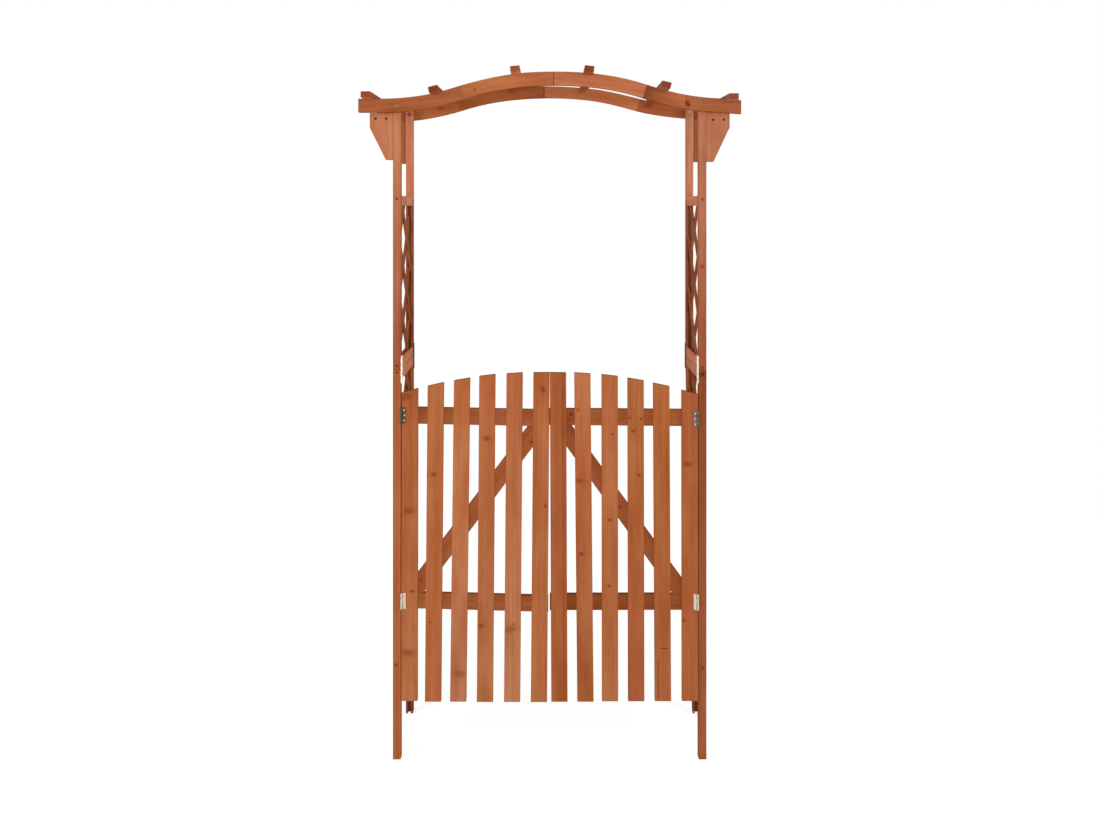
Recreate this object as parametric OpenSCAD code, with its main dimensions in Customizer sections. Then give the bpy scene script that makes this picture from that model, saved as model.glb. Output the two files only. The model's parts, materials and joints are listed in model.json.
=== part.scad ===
// Garden arch of stained fir with a pair of picket gates.
// Four grooved posts in two halves carry two lattice sides and two curved
// beams, and six battens lie across the beams. The gates swing on the front
// posts. The origin is on the ground at the centre of the arch, +Z is up and
// the front, where the gates hang, faces -Y. Sizes are in millimetres.

/* [Posts] */
// Distance between the inner faces of the left and right posts
clear_width = 878; // [760:1:1000]
// Distance over the front and rear posts
side_depth = 260; // [220:1:360]
// Width and depth of each square post
post_size = 23; // [21:0.5:32]
// Height of the lower half of each post
lower_post_h = 1148; // [1050:1:1300]
// Height of the upper half of each post
upper_post_h = 797; // [760:1:900]
// Width of the groove that takes the lattice
groove_w = 9; // [9:0.1:12]
// Depth of the groove
groove_depth = 11; // [8:0.5:13]

/* [Side panels] */
// Height of each rail of the side panels
side_rail_h = 31; // [24:0.5:40]
// Thickness of each rail of the side panels
side_rail_t = 22; // [18:0.5:23]
// Height of the upper panel, over its rails
upper_panel_h = 514; // [420:1:640]
// Height of the lower panel, over its rails
lower_panel_h = 978; // [860:1:1080]
// Width of a lattice slat
slat_w = 20; // [15:0.5:32]
// Thickness of a lattice slat
slat_t = 4.2; // [3:0.1:4.2]
// Vertical distance between slats that run the same way
lattice_pitch = 168; // [120:1:220]
// Slope of the slats, in degrees from the horizontal
lattice_angle = 50; // [40:1:60]
// Distance of the lattice's middle crossings from the middle of the panel
lattice_shift = 18; // [0:1:40]
// Height of a middle crossing above a left panel's foot
left_lattice_start = 126; // [0:1:168]
// Height of a middle crossing above a right panel's foot
right_lattice_start = 82; // [0:1:168]

/* [Beams] */
// Thickness of each curved beam
beam_t = 18; // [14:0.5:26]
// Height of each curved beam, square to its curve
beam_h = 40; // [32:0.5:56]
// Length of beam beyond the outer face of a post
beam_overhang = 98.5; // [70:0.5:140]
// Straight length at each end of a beam
beam_flat = 60.5; // [40:0.5:80]
// Rise of the crest above the beam's ends
crest_rise = 79; // [60:1:100]
// Radius of the crest along its top
crest_r = 930; // [700:5:1000]

/* [Battens] */
// Length of a batten, from front to rear
batten_l = 400; // [380:1:520]
// Width of a batten
batten_w = 28; // [20:0.5:40]
// Thickness of a batten
batten_t = 18; // [12:0.5:26]
// Depth of the seat that is cut in the beam for a batten
seat_depth = 3; // [2:0.5:6]
// Distance from the middle of an end batten to the end of the beam
end_batten_inset = 32; // [25:0.5:45]
// Distance of the outer battens from the centre of the arch
outer_batten_x = 333; // [250:1:380]
// Distance of the inner battens from the centre of the arch
inner_batten_x = 106; // [70:1:160]
// How far the inner battens stand off the centre, to the right
inner_batten_shift = 7; // [0:1:12]

/* [Brackets] */
// Thickness of a corner bracket
bracket_t = 18; // [12:0.5:21]
// Width of a bracket at its top
bracket_w = 69; // [50:1:90]
// Height of a bracket along the post
bracket_h = 138; // [100:1:180]
// Height of a bracket's upright outer edge
bracket_edge = 43; // [20:1:60]
// Width of a bracket at its foot
bracket_foot = 21.5; // [12:0.5:40]

/* [Gates] */
// Height of the gates' feet above the ground
gate_foot = 172; // [120:1:220]
// Drop from the posts' joint to the gates' top at the centre of the arch
gate_top_drop = 6; // [0:1:60]
// Radius of the curve along the gates' tops
gate_top_r = 1584; // [1100:1:2400]
// Gap between the two gates
gate_gap = 8; // [6:0.5:14]
// Gap between a gate and its post
hinge_gap = 5; // [4.5:0.5:8]
// Number of pickets in each gate
picket_count = 6; // [4:1:7]
// Width of a picket
picket_w = 48; // [36:0.5:54]
// Thickness of a picket
picket_t = 12; // [9:0.5:18]
// Height of a gate's rail
gate_rail_h = 49; // [36:0.5:60]
// Thickness of a gate's rails and brace
gate_rail_t = 15; // [10:0.5:18]
// Height from a gate's foot to the underside of its bottom rail
bottom_rail_rise = 266; // [160:1:320]
// Drop from the gates' top to the upper edge of their top rails
top_rail_drop = 108; // [90:1:160]
// Width of a gate's brace
brace_w = 48; // [36:0.5:60]

/* [Hardware] */
// Length of a joint plate
plate_l = 80; // [60:1:110]
// Width of a joint plate
plate_w = 20; // [12:0.5:21]
// Thickness of a joint plate
plate_t = 2; // [1:0.1:2.5]
// Diameter of a beam bolt
bolt_d = 6; // [4:0.5:8]
// Diameter of a beam bolt's head
bolt_head_d = 13; // [12:0.5:18]
// Thickness of a beam bolt's head
bolt_head_t = 3; // [2:0.5:6]
// Thickness of a beam bolt's nut
nut_t = 5; // [3:0.5:7]
// Height of a hinge
hinge_h = 47; // [36:1:60]
// Diameter of a hinge's barrel
barrel_d = 6; // [5:0.5:8]
// Diameter of a hinge's pin
pin_d = 3; // [2:0.1:3.5]
// Thickness of a hinge's leaves
leaf_t = 1.2; // [0.8:0.1:1.6]
// Width of the hinge leaf on a picket
picket_leaf_w = 13; // [10:0.5:18]
// Width of the hinge leaf on a post
post_leaf_w = 17; // [12:0.5:20]
// Height of a hinge's middle above the middle of its rail
hinge_rise = 5; // [0:0.5:10]

/* [Clearances] */
// Clearance of a batten in its seat and of a lattice in its grooves
fit_gap = 0.3; // [0.1:0.1:0.5]
// Clearance of a bolt in its hole, on the diameter
bolt_gap = 0.5; // [0.3:0.1:1]
// Clearance of a hinge's pin in its knuckle, on the diameter
pin_gap = 0.16; // [0.04:0.02:0.2]
// Clearance between a hinge's knuckles
knuckle_gap = 0.3; // [0.2:0.1:0.5]

/* [Hidden] */

FRONT = -1;
REAR = 1;
LEFT = -1;
RIGHT = 1;

// posts
post_in_x = clear_width / 2;
post_mid_x = post_in_x + post_size / 2;
post_out_x = post_in_x + post_size;
post_out_y = side_depth / 2;
post_mid_y = post_out_y - post_size / 2;
post_in_y = post_out_y - post_size;
post_top = lower_post_h + upper_post_h;

// side panels: the upper one stands on the lower one at the posts' joint
lower_panel_z = lower_post_h - lower_panel_h;
upper_panel_z = lower_post_h;
lattice_half_y = post_in_y + groove_depth - fit_gap;

// beams: a crest arc runs into a reverse arc that ends level
beam_half = post_out_x + beam_overhang;
arc_end_x = beam_half - beam_flat;
crest_z = post_top + crest_rise;
both_r = (pow(arc_end_x, 2) + pow(crest_rise, 2)) / (2 * crest_rise);
reverse_r = both_r - crest_r;
turn_angle = asin(arc_end_x / both_r);
turn_x = crest_r * sin(turn_angle);
arc_steps = 16;
beam_in_y = post_out_y;
beam_out_y = beam_in_y + beam_t;
bolt_z = post_top - beam_h / 2;

// gates
leaf_out_x = post_in_x - hinge_gap;
leaf_in_x = gate_gap / 2;
leaf_w = leaf_out_x - leaf_in_x;
picket_step = (leaf_w - picket_w) / (picket_count - 1);
picket_front_y = -post_out_y;
picket_back_y = picket_front_y + picket_t;
gate_top_z = lower_post_h - gate_top_drop;
gate_h = gate_top_z - gate_foot;
bottom_rail_z = gate_foot + bottom_rail_rise;
top_rail_z = gate_top_z - top_rail_drop - gate_rail_h;

// the brace runs from the hinge side's foot to the free side's top, and its
// run is what leaves its full width between the two corners
brace_rise = top_rail_z - bottom_rail_z - gate_rail_h;
brace_run = brace_rise
    * (leaf_w * brace_rise - brace_w * sqrt(pow(leaf_w, 2) + pow(brace_rise, 2) - pow(brace_w, 2)))
    / (pow(brace_rise, 2) - pow(brace_w, 2));

// hinges: the pin stands in front of the gap between picket and post
pin_x = post_in_x - hinge_gap / 2;
pin_y = picket_front_y - barrel_d / 2;
hinge_zs = [bottom_rail_z + gate_rail_h / 2 + hinge_rise, top_rail_z + gate_rail_h / 2 + hinge_rise];
knuckle_h = (hinge_h - 2 * knuckle_gap) / 3;
knuckle_reach = barrel_d / 2 - hinge_gap / 2 + knuckle_gap;
picket_leaf_reach = picket_leaf_w + hinge_gap / 2;

WOOD = "#b8714a";
DARK_WOOD = "#a9623b";
ZINC = "#c3bfb3";
$fn = 48;

// Height of a beam's top line at a distance x from the centre
function line_z(x) =
    abs(x) <= turn_x ? crest_z - crest_r + sqrt(pow(crest_r, 2) - pow(x, 2))
    : abs(x) < arc_end_x ? post_top + reverse_r - sqrt(pow(reverse_r, 2) - pow(arc_end_x - abs(x), 2))
    : post_top;

// Slope of a beam's top line there, as a turn about Y
function line_turn(x) =
    abs(x) <= turn_x ? asin(x / crest_r)
    : abs(x) < arc_end_x ? sign(x) * asin((arc_end_x - abs(x)) / reverse_r)
    : 0;

// Points of a line that runs beside the top line, a distance down from it
function beam_line(down) = concat(
    [for (i = [0:arc_steps]) let (a = turn_angle * i / arc_steps)
        [(crest_r - down) * sin(a), crest_z - crest_r + (crest_r - down) * cos(a)]],
    [for (i = [arc_steps - 1:-1:0]) let (a = turn_angle * i / arc_steps)
        [arc_end_x - (reverse_r + down) * sin(a), post_top + reverse_r - (reverse_r + down) * cos(a)]],
    [[beam_half, post_top - down]]);

function backwards(list) = [for (i = [len(list) - 1:-1:0]) list[i]];

batten_xs = [
    -(beam_half - end_batten_inset), -outer_batten_x, inner_batten_shift - inner_batten_x,
    inner_batten_shift + inner_batten_x, outer_batten_x, beam_half - end_batten_inset];

// Keeps what is drawn on the right, or mirrors it to the left
module on_side(side) {
    mirror([side == LEFT ? 1 : 0, 0, 0]) children();
}

// Keeps what is drawn at the front, or mirrors it to the rear
module at_end(end) {
    mirror([0, end == REAR ? 1 : 0, 0]) children();
}

// One half of a post: it is drawn at the front right, with its groove to the rear
module post(side, end, z, h) {
    color(WOOD) on_side(side) at_end(end) difference() {
        translate([post_in_x, -post_out_y, z]) cube([post_size, post_size, h]);
        translate([post_mid_x - groove_w / 2, -post_in_y - groove_depth, z - 1])
            cube([groove_w, groove_depth + 1, h + 2]);
        translate([post_mid_x, -post_out_y - 1, bolt_z]) rotate([-90, 0, 0])
            cylinder(d = bolt_d + bolt_gap, h = post_size + 2);
    }
}

// A rail of a side panel, with the groove that takes the lattice in one edge
module side_rail(side, z, groove_up) {
    color(WOOD) on_side(side) difference() {
        translate([post_mid_x - side_rail_t / 2, -post_in_y, z])
            cube([side_rail_t, 2 * post_in_y, side_rail_h]);
        translate([post_mid_x - groove_w / 2, -post_in_y - 1, groove_up ? z + side_rail_h - groove_depth : z - 1])
            cube([groove_w, 2 * post_in_y + 2, groove_depth + 1]);
    }
}

// Outline of the slats that run one way, cut to the panel's edges in its grooves.
// A slat that would cross no other one, in a corner, is left out.
module slats(h, start, way) {
    foot = side_rail_h - groove_depth + fit_gap;
    reach = (lattice_half_y + lattice_shift) * tan(lattice_angle);
    first = floor((foot - reach - start) / lattice_pitch);
    last = ceil((h + reach - start) / lattice_pitch);
    crossings = function (i) [for (j = [first:last])
        let (y = lattice_shift + way * (j - i) * lattice_pitch / tan(lattice_angle) / 2,
            z = start + (i + j) * lattice_pitch / 2)
        if (abs(y) < lattice_half_y && z > foot && z < h - foot) j];
    intersection() {
        translate([-lattice_half_y, foot]) square([2 * lattice_half_y, h - 2 * foot]);
        for (i = [first:last]) if (len(crossings(i)) > 0)
            translate([lattice_shift, start + i * lattice_pitch]) rotate(way * lattice_angle)
                square([6 * lattice_half_y, slat_w], center = true);
    }
}

// A lattice of two layers of slats, let into each other where they cross.
// The right panels stand turned half round against the left ones.
module lattice(side, z, h) {
    start = side == LEFT ? left_lattice_start : right_lattice_start;
    let_in = 0.5;
    color(DARK_WOOD) rotate(side == LEFT ? 180 : 0) translate([post_mid_x, 0, z]) rotate([90, 0, 90]) {
        translate([0, 0, -slat_t]) linear_extrude(slat_t + let_in / 2) slats(h, start, 1);
        translate([0, 0, -let_in / 2]) linear_extrude(slat_t + let_in / 2) slats(h, start, -1);
    }
}

// One half of a curved beam, on the outer faces of its posts
module beam(side, end) {
    color(WOOD) at_end(end) difference() {
        on_side(side) translate([0, -beam_in_y, 0]) rotate([90, 0, 0]) linear_extrude(beam_t)
            polygon(concat(beam_line(0), backwards(beam_line(beam_h))));
        for (x = batten_xs) batten_box(x, fit_gap);
        on_side(side) translate([post_mid_x, -beam_out_y - 1, bolt_z]) rotate([-90, 0, 0])
            cylinder(d = bolt_d + bolt_gap, h = beam_t + 2);
    }
}

// The room of a batten at x, square to the beams' line and wider by a gap on each side
module batten_box(x, gap) {
    translate([x, 0, line_z(x)]) rotate([0, line_turn(x), 0])
        translate([-batten_w / 2 - gap, -batten_l / 2, -seat_depth])
            cube([batten_w + 2 * gap, batten_l, batten_t]);
}

module batten(x) {
    color(DARK_WOOD) batten_box(x, 0);
}

// A board with five sides that holds each post square to the beams
module bracket(side, end) {
    top = post_top - beam_h;
    set_back = (post_size - bracket_t) / 2;
    color(WOOD) on_side(side) at_end(end)
        translate([post_out_x, -post_out_y + set_back + bracket_t, 0]) rotate([90, 0, 0])
            linear_extrude(bracket_t) polygon([
                [0, top - bracket_h], [bracket_foot, top - bracket_h],
                [bracket_w, top - bracket_edge], [bracket_w, top], [0, top]]);
}

// Plates that hold the halves of the posts together, on both sides of each post
module joint_plates() {
    color(ZINC) for (side = [LEFT, RIGHT], end = [FRONT, REAR], x = [post_in_x - plate_t, post_out_x])
        on_side(side) at_end(end)
            translate([x, -post_mid_y - plate_w / 2, lower_post_h - plate_l / 2])
                cube([plate_t, plate_w, plate_l]);
}

// A round-headed bolt through each beam and its post, with its nut
module beam_bolts() {
    grip = beam_t + post_size;
    color(ZINC) for (side = [LEFT, RIGHT], end = [FRONT, REAR])
        on_side(side) at_end(end) translate([post_mid_x, -beam_out_y, bolt_z]) rotate([-90, 0, 0]) {
            translate([0, 0, -bolt_head_t]) cylinder(d = bolt_head_d, h = bolt_head_t);
            cylinder(d = bolt_d, h = grip + nut_t);
            translate([0, 0, grip]) cylinder(d = bolt_head_d, h = nut_t, $fn = 6);
        }
}

// The pickets of a gate, with their tops on one curve over both gates
module gate_pickets(side) {
    color(WOOD) on_side(side) intersection() {
        for (i = [0:picket_count - 1])
            translate([leaf_in_x + i * picket_step, picket_front_y, gate_foot])
                cube([picket_w, picket_t, gate_h]);
        translate([0, picket_front_y - 1, gate_top_z - gate_top_r]) rotate([-90, 0, 0])
            cylinder(r = gate_top_r, h = picket_t + 2, $fn = 360);
    }
}

module gate_rail(side, z) {
    color(DARK_WOOD) on_side(side)
        translate([leaf_in_x, picket_back_y, z]) cube([leaf_w, gate_rail_t, gate_rail_h]);
}

// The brace fills the corners between the rails
module gate_brace(side) {
    color(DARK_WOOD) on_side(side)
        translate([leaf_in_x, picket_back_y + gate_rail_t, bottom_rail_z + gate_rail_h])
            rotate([90, 0, 0]) linear_extrude(gate_rail_t) polygon([
                [0, brace_rise], [leaf_w - brace_run, brace_rise], [leaf_w, 0], [brace_run, 0]]);
}

// The leaf on a picket's face, with the middle knuckle that turns on the pin
module gate_hinges(side) {
    color(ZINC) on_side(side) for (z = hinge_zs) difference() {
        translate([0, 0, z]) union() {
            translate([pin_x, pin_y, -knuckle_h / 2]) cylinder(d = barrel_d, h = knuckle_h);
            translate([pin_x - picket_leaf_reach, picket_front_y - leaf_t, -knuckle_h / 2])
                cube([picket_leaf_reach, leaf_t, knuckle_h]);
            translate([leaf_out_x - picket_leaf_w, picket_front_y - leaf_t, -hinge_h / 2])
                cube([picket_leaf_w - knuckle_reach, leaf_t, hinge_h]);
        }
        translate([pin_x, pin_y, z - hinge_h]) cylinder(d = pin_d + pin_gap, h = 2 * hinge_h);
    }
}

// The leaf on the post's inner face, with the outer knuckles and the pin
module post_hinges(side) {
    color(ZINC) on_side(side) for (z = hinge_zs) translate([0, 0, z]) {
        translate([pin_x, pin_y, -hinge_h / 2]) cylinder(d = pin_d, h = hinge_h);
        for (foot = [-hinge_h / 2, hinge_h / 2 - knuckle_h]) {
            translate([pin_x, pin_y, foot]) cylinder(d = barrel_d, h = knuckle_h);
            translate([post_in_x - leaf_t, pin_y, foot])
                cube([leaf_t, post_leaf_w, knuckle_h]);
        }
        translate([post_in_x - leaf_t, picket_front_y + knuckle_gap, -hinge_h / 2])
            cube([leaf_t, post_leaf_w - barrel_d / 2 - knuckle_gap, hinge_h]);
    }
}

module panel_top_rails(side) {
    side_rail(side, lower_panel_z + lower_panel_h - side_rail_h, false);
    side_rail(side, upper_panel_z + upper_panel_h - side_rail_h, false);
}

module panel_bottom_rails(side) {
    side_rail(side, lower_panel_z, true);
    side_rail(side, upper_panel_z, true);
}

post(LEFT, FRONT, 0, lower_post_h);  // front_left_lower_post
post(RIGHT, FRONT, 0, lower_post_h);  // front_right_lower_post
post(LEFT, REAR, 0, lower_post_h);  // rear_left_lower_post
post(RIGHT, REAR, 0, lower_post_h);  // rear_right_lower_post
post(LEFT, FRONT, lower_post_h, upper_post_h);  // front_left_upper_post
post(RIGHT, FRONT, lower_post_h, upper_post_h);  // front_right_upper_post
post(LEFT, REAR, lower_post_h, upper_post_h);  // rear_left_upper_post
post(RIGHT, REAR, lower_post_h, upper_post_h);  // rear_right_upper_post
panel_top_rails(LEFT);  // left_panel_top_rails
panel_top_rails(RIGHT);  // right_panel_top_rails
panel_bottom_rails(LEFT);  // left_panel_bottom_rails
panel_bottom_rails(RIGHT);  // right_panel_bottom_rails
lattice(LEFT, lower_panel_z, lower_panel_h);  // left_lower_lattice
lattice(RIGHT, lower_panel_z, lower_panel_h);  // right_lower_lattice
lattice(LEFT, upper_panel_z, upper_panel_h);  // left_upper_lattice
lattice(RIGHT, upper_panel_z, upper_panel_h);  // right_upper_lattice
beam(LEFT, FRONT);  // front_left_beam
beam(RIGHT, FRONT);  // front_right_beam
beam(LEFT, REAR);  // rear_left_beam
beam(RIGHT, REAR);  // rear_right_beam
bracket(LEFT, FRONT);  // front_left_bracket
bracket(RIGHT, FRONT);  // front_right_bracket
bracket(LEFT, REAR);  // rear_left_bracket
bracket(RIGHT, REAR);  // rear_right_bracket
batten(batten_xs[0]);  // left_end_batten
batten(batten_xs[1]);  // left_outer_batten
batten(batten_xs[2]);  // left_inner_batten
batten(batten_xs[3]);  // right_inner_batten
batten(batten_xs[4]);  // right_outer_batten
batten(batten_xs[5]);  // right_end_batten
joint_plates();
beam_bolts();
post_hinges(LEFT);  // left_post_hinges
post_hinges(RIGHT);  // right_post_hinges
gate_pickets(LEFT);  // left_gate_pickets
gate_rail(LEFT, top_rail_z);  // left_gate_top_rail
gate_rail(LEFT, bottom_rail_z);  // left_gate_bottom_rail
gate_brace(LEFT);  // left_gate_brace
gate_hinges(LEFT);  // left_gate_hinges
gate_pickets(RIGHT);  // right_gate_pickets
gate_rail(RIGHT, top_rail_z);  // right_gate_top_rail
gate_rail(RIGHT, bottom_rail_z);  // right_gate_bottom_rail
gate_brace(RIGHT);  // right_gate_brace
gate_hinges(RIGHT);  // right_gate_hinges
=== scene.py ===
"""Garden arch of stained fir with a pair of picket gates: the grained boards, the hardware and the stage."""
import json
import math
import random

import bpy
from mathutils import Matrix, Vector


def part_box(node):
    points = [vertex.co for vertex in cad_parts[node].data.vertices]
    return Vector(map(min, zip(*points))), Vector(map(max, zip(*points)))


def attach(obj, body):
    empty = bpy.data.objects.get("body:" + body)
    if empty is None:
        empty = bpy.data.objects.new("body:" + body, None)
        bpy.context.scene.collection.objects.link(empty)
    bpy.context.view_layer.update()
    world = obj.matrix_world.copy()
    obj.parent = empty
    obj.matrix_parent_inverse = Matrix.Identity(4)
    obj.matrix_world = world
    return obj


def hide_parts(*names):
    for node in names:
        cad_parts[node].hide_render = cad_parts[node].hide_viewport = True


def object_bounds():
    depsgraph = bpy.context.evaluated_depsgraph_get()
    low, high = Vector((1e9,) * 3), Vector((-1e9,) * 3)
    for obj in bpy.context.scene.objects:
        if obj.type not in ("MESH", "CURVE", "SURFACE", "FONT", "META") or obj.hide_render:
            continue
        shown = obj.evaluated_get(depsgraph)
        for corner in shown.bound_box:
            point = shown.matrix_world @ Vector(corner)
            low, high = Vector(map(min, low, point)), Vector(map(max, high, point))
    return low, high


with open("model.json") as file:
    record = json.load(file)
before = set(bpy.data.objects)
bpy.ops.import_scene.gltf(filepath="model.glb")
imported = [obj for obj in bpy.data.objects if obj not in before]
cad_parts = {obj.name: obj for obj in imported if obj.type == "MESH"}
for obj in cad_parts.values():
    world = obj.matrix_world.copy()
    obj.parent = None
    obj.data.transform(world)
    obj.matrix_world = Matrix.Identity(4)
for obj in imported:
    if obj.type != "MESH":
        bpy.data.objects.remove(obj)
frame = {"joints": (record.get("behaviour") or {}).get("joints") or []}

cad_low, cad_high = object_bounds()
chance = random.Random(23)

X, Y, Z = AXES = Vector((1, 0, 0)), Vector((0, 1, 0)), Vector((0, 0, 1))
SIDES = {"left": -1, "right": 1}
ENDS = {"front": -1, "rear": 1}


def outer_inner(node, place):
    """Where a piece's outer and inner faces are: across for a side of the arch, in depth for an end."""
    low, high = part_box(node)
    faces = (low.x, high.x) if place in SIDES else (low.y, high.y)
    return faces if place in ("left", "front") else faces[::-1]


# ---------------------------------------------------------------- camera

CAMERA_PLACE = (-0.0035, -2.743, 1.628)
LENS, SENSOR_WIDTH = 29.03, 36
SHIFT_X, SHIFT_Y = 0.00136, -0.1864


def make_camera():
    """A level camera at eye height, with its frame shifted down onto the arch."""
    data = bpy.data.cameras.new("camera")
    data.sensor_width, data.lens = SENSOR_WIDTH, LENS
    data.shift_x, data.shift_y = SHIFT_X, SHIFT_Y
    camera = bpy.data.objects.new("camera", data)
    camera.location = CAMERA_PLACE
    camera.rotation_euler = (math.pi / 2, 0, 0)
    bpy.context.scene.collection.objects.link(camera)
    bpy.context.scene.camera = camera


# ---------------------------------------------------------------- shader maths

def pick(sockets, key):
    """A node's socket by its number, or by its name among those in use."""
    if isinstance(key, int):
        return sockets[key]
    return next(s for s in sockets if s.name == key and s.enabled)


class Wire:
    """A shader socket, on which maths is written as plain expressions."""

    def __init__(self, finish, socket):
        self.finish, self.socket = finish, socket

    def math(self, operation, *values):
        """A Math node on some values or sockets."""
        return self.finish.node("ShaderNodeMath", {"operation": operation}, dict(enumerate(values)))

    def __add__(self, other):
        return self.math("ADD", self, other)

    def __sub__(self, other):
        return self.math("SUBTRACT", self, other)

    def __rsub__(self, other):
        return self.math("SUBTRACT", other, self)

    def __mul__(self, other):
        return self.math("MULTIPLY", self, other)

    def __truediv__(self, other):
        return self.math("DIVIDE", self, other)

    def __pow__(self, other):
        return self.math("POWER", self, other)

    __radd__ = __add__
    __rmul__ = __mul__

    def out(self, key):
        """Another output of the same node."""
        return Wire(self.finish, pick(self.socket.node.outputs, key))

    def times(self, other):
        """A colour or vector times another one, part by part."""
        return self.finish.node("ShaderNodeVectorMath", {"operation": "MULTIPLY"}, {0: self, 1: other})

    def exp(self, rate):
        """e to the power of rate times the value."""
        return self.math("EXPONENT", self * rate)

    def least(self, other):
        return self.math("MINIMUM", self, other)

    def step(self, low, high):
        """0 below low and 1 above high, with a smooth rise between them."""
        return self.finish.node("ShaderNodeMapRange", {"interpolation_type": "SMOOTHSTEP"},
                                {"Value": self, "From Min": low, "From Max": high})


class Finish:
    """A material or a world while its nodes are put together."""

    def __init__(self, owner, output="ShaderNodeOutputMaterial"):
        owner.use_nodes = True
        self.owner, self.tree, self.output = owner, owner.node_tree, output
        self.tree.nodes.clear()

    def node(self, kind, settings=None, inputs=None, output=0):
        """A node with its settings and the values or links of its sockets, as one of its outputs."""
        made = self.tree.nodes.new(kind)
        for key, value in (settings or {}).items():
            setattr(made, key, value)
        for key, value in (inputs or {}).items():
            socket = pick(made.inputs, key)
            if isinstance(value, Wire):
                self.tree.links.new(value.socket, socket)
            else:
                socket.default_value = value
        return Wire(self, pick(made.outputs, output))

    def attribute(self, name):
        return self.node("ShaderNodeAttribute", {"attribute_name": name}, output="Vector")

    def parts(self, vector):
        """The three parts of a vector."""
        split = self.node("ShaderNodeSeparateXYZ", inputs={0: vector})
        return split, split.out("Y"), split.out("Z")

    def noise(self, vector, scales, detail=2.0, roughness=0.5):
        """Noise from 0 to 1, with its own scale along each axis."""
        return self.node("ShaderNodeTexNoise", inputs={
            "Vector": vector.times(scales), "Scale": 1.0, "Detail": detail, "Roughness": roughness})

    def blend(self, amount, first, second):
        """From the first colour to the second one."""
        inputs = {"Factor": amount, "A": first, "B": second}
        return self.node("ShaderNodeMix", {"data_type": "RGBA"}, inputs, "Result")

    def same(self, tone, green=None, blue=None):
        """A vector of one value, or of three."""
        parts = (tone, tone if green is None else green, tone if blue is None else blue)
        return self.node("ShaderNodeCombineXYZ", inputs=dict(enumerate(parts)))

    def bump(self, height):
        """A height in metres as a change of the normal."""
        return self.node("ShaderNodeBump", inputs={"Height": height, "Distance": 1.0, "Strength": 1.0})

    def surface(self, **sockets):
        """The finished material of a Principled shader with these sockets."""
        inputs = {key.replace("_", " "): value for key, value in sockets.items()}
        return self.shown(self.node("ShaderNodeBsdfPrincipled", inputs=inputs))

    def shown(self, shader):
        """The shader is what the material shows."""
        output = self.tree.nodes.new(self.output)
        self.tree.links.new(shader.socket, output.inputs["Surface"])
        return self.owner


def linear(red, green, blue):
    """A colour written in the usual 0 to 255 steps, as shader values."""
    return tuple(c / 255 / 12.92 if c <= 10 else ((c / 255 + 0.055) / 1.055) ** 2.4
                 for c in (red, green, blue))


# ---------------------------------------------------------------- finishes

# the attributes of a board's knots: how far a point is from the knot along and across, and its radius
KNOTS = ("knot_a", "knot_b", "knot_c", "knot_d")
# the share of white that the sheen lays over the wood, taken off the stains below
SHEEN = Vector((0.004, 0.004, 0.004))
RING_WIDTH = 0.0024
# colour of the wood grown early and late in a year, as shares of the stain
EARLY_WOOD, LATE_WOOD = (1.05, 1.06, 1.08, 1), (0.86, 0.80, 0.73, 1)
SMEAR_TINT, KNOT_TINT = (0.74, 0.62, 0.52), (0.44, 0.25, 0.15)
END_GRAIN_TINT, EDGE_TINT = (0.66, 0.50, 0.40), (1.14, 1.17, 1.22)


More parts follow.
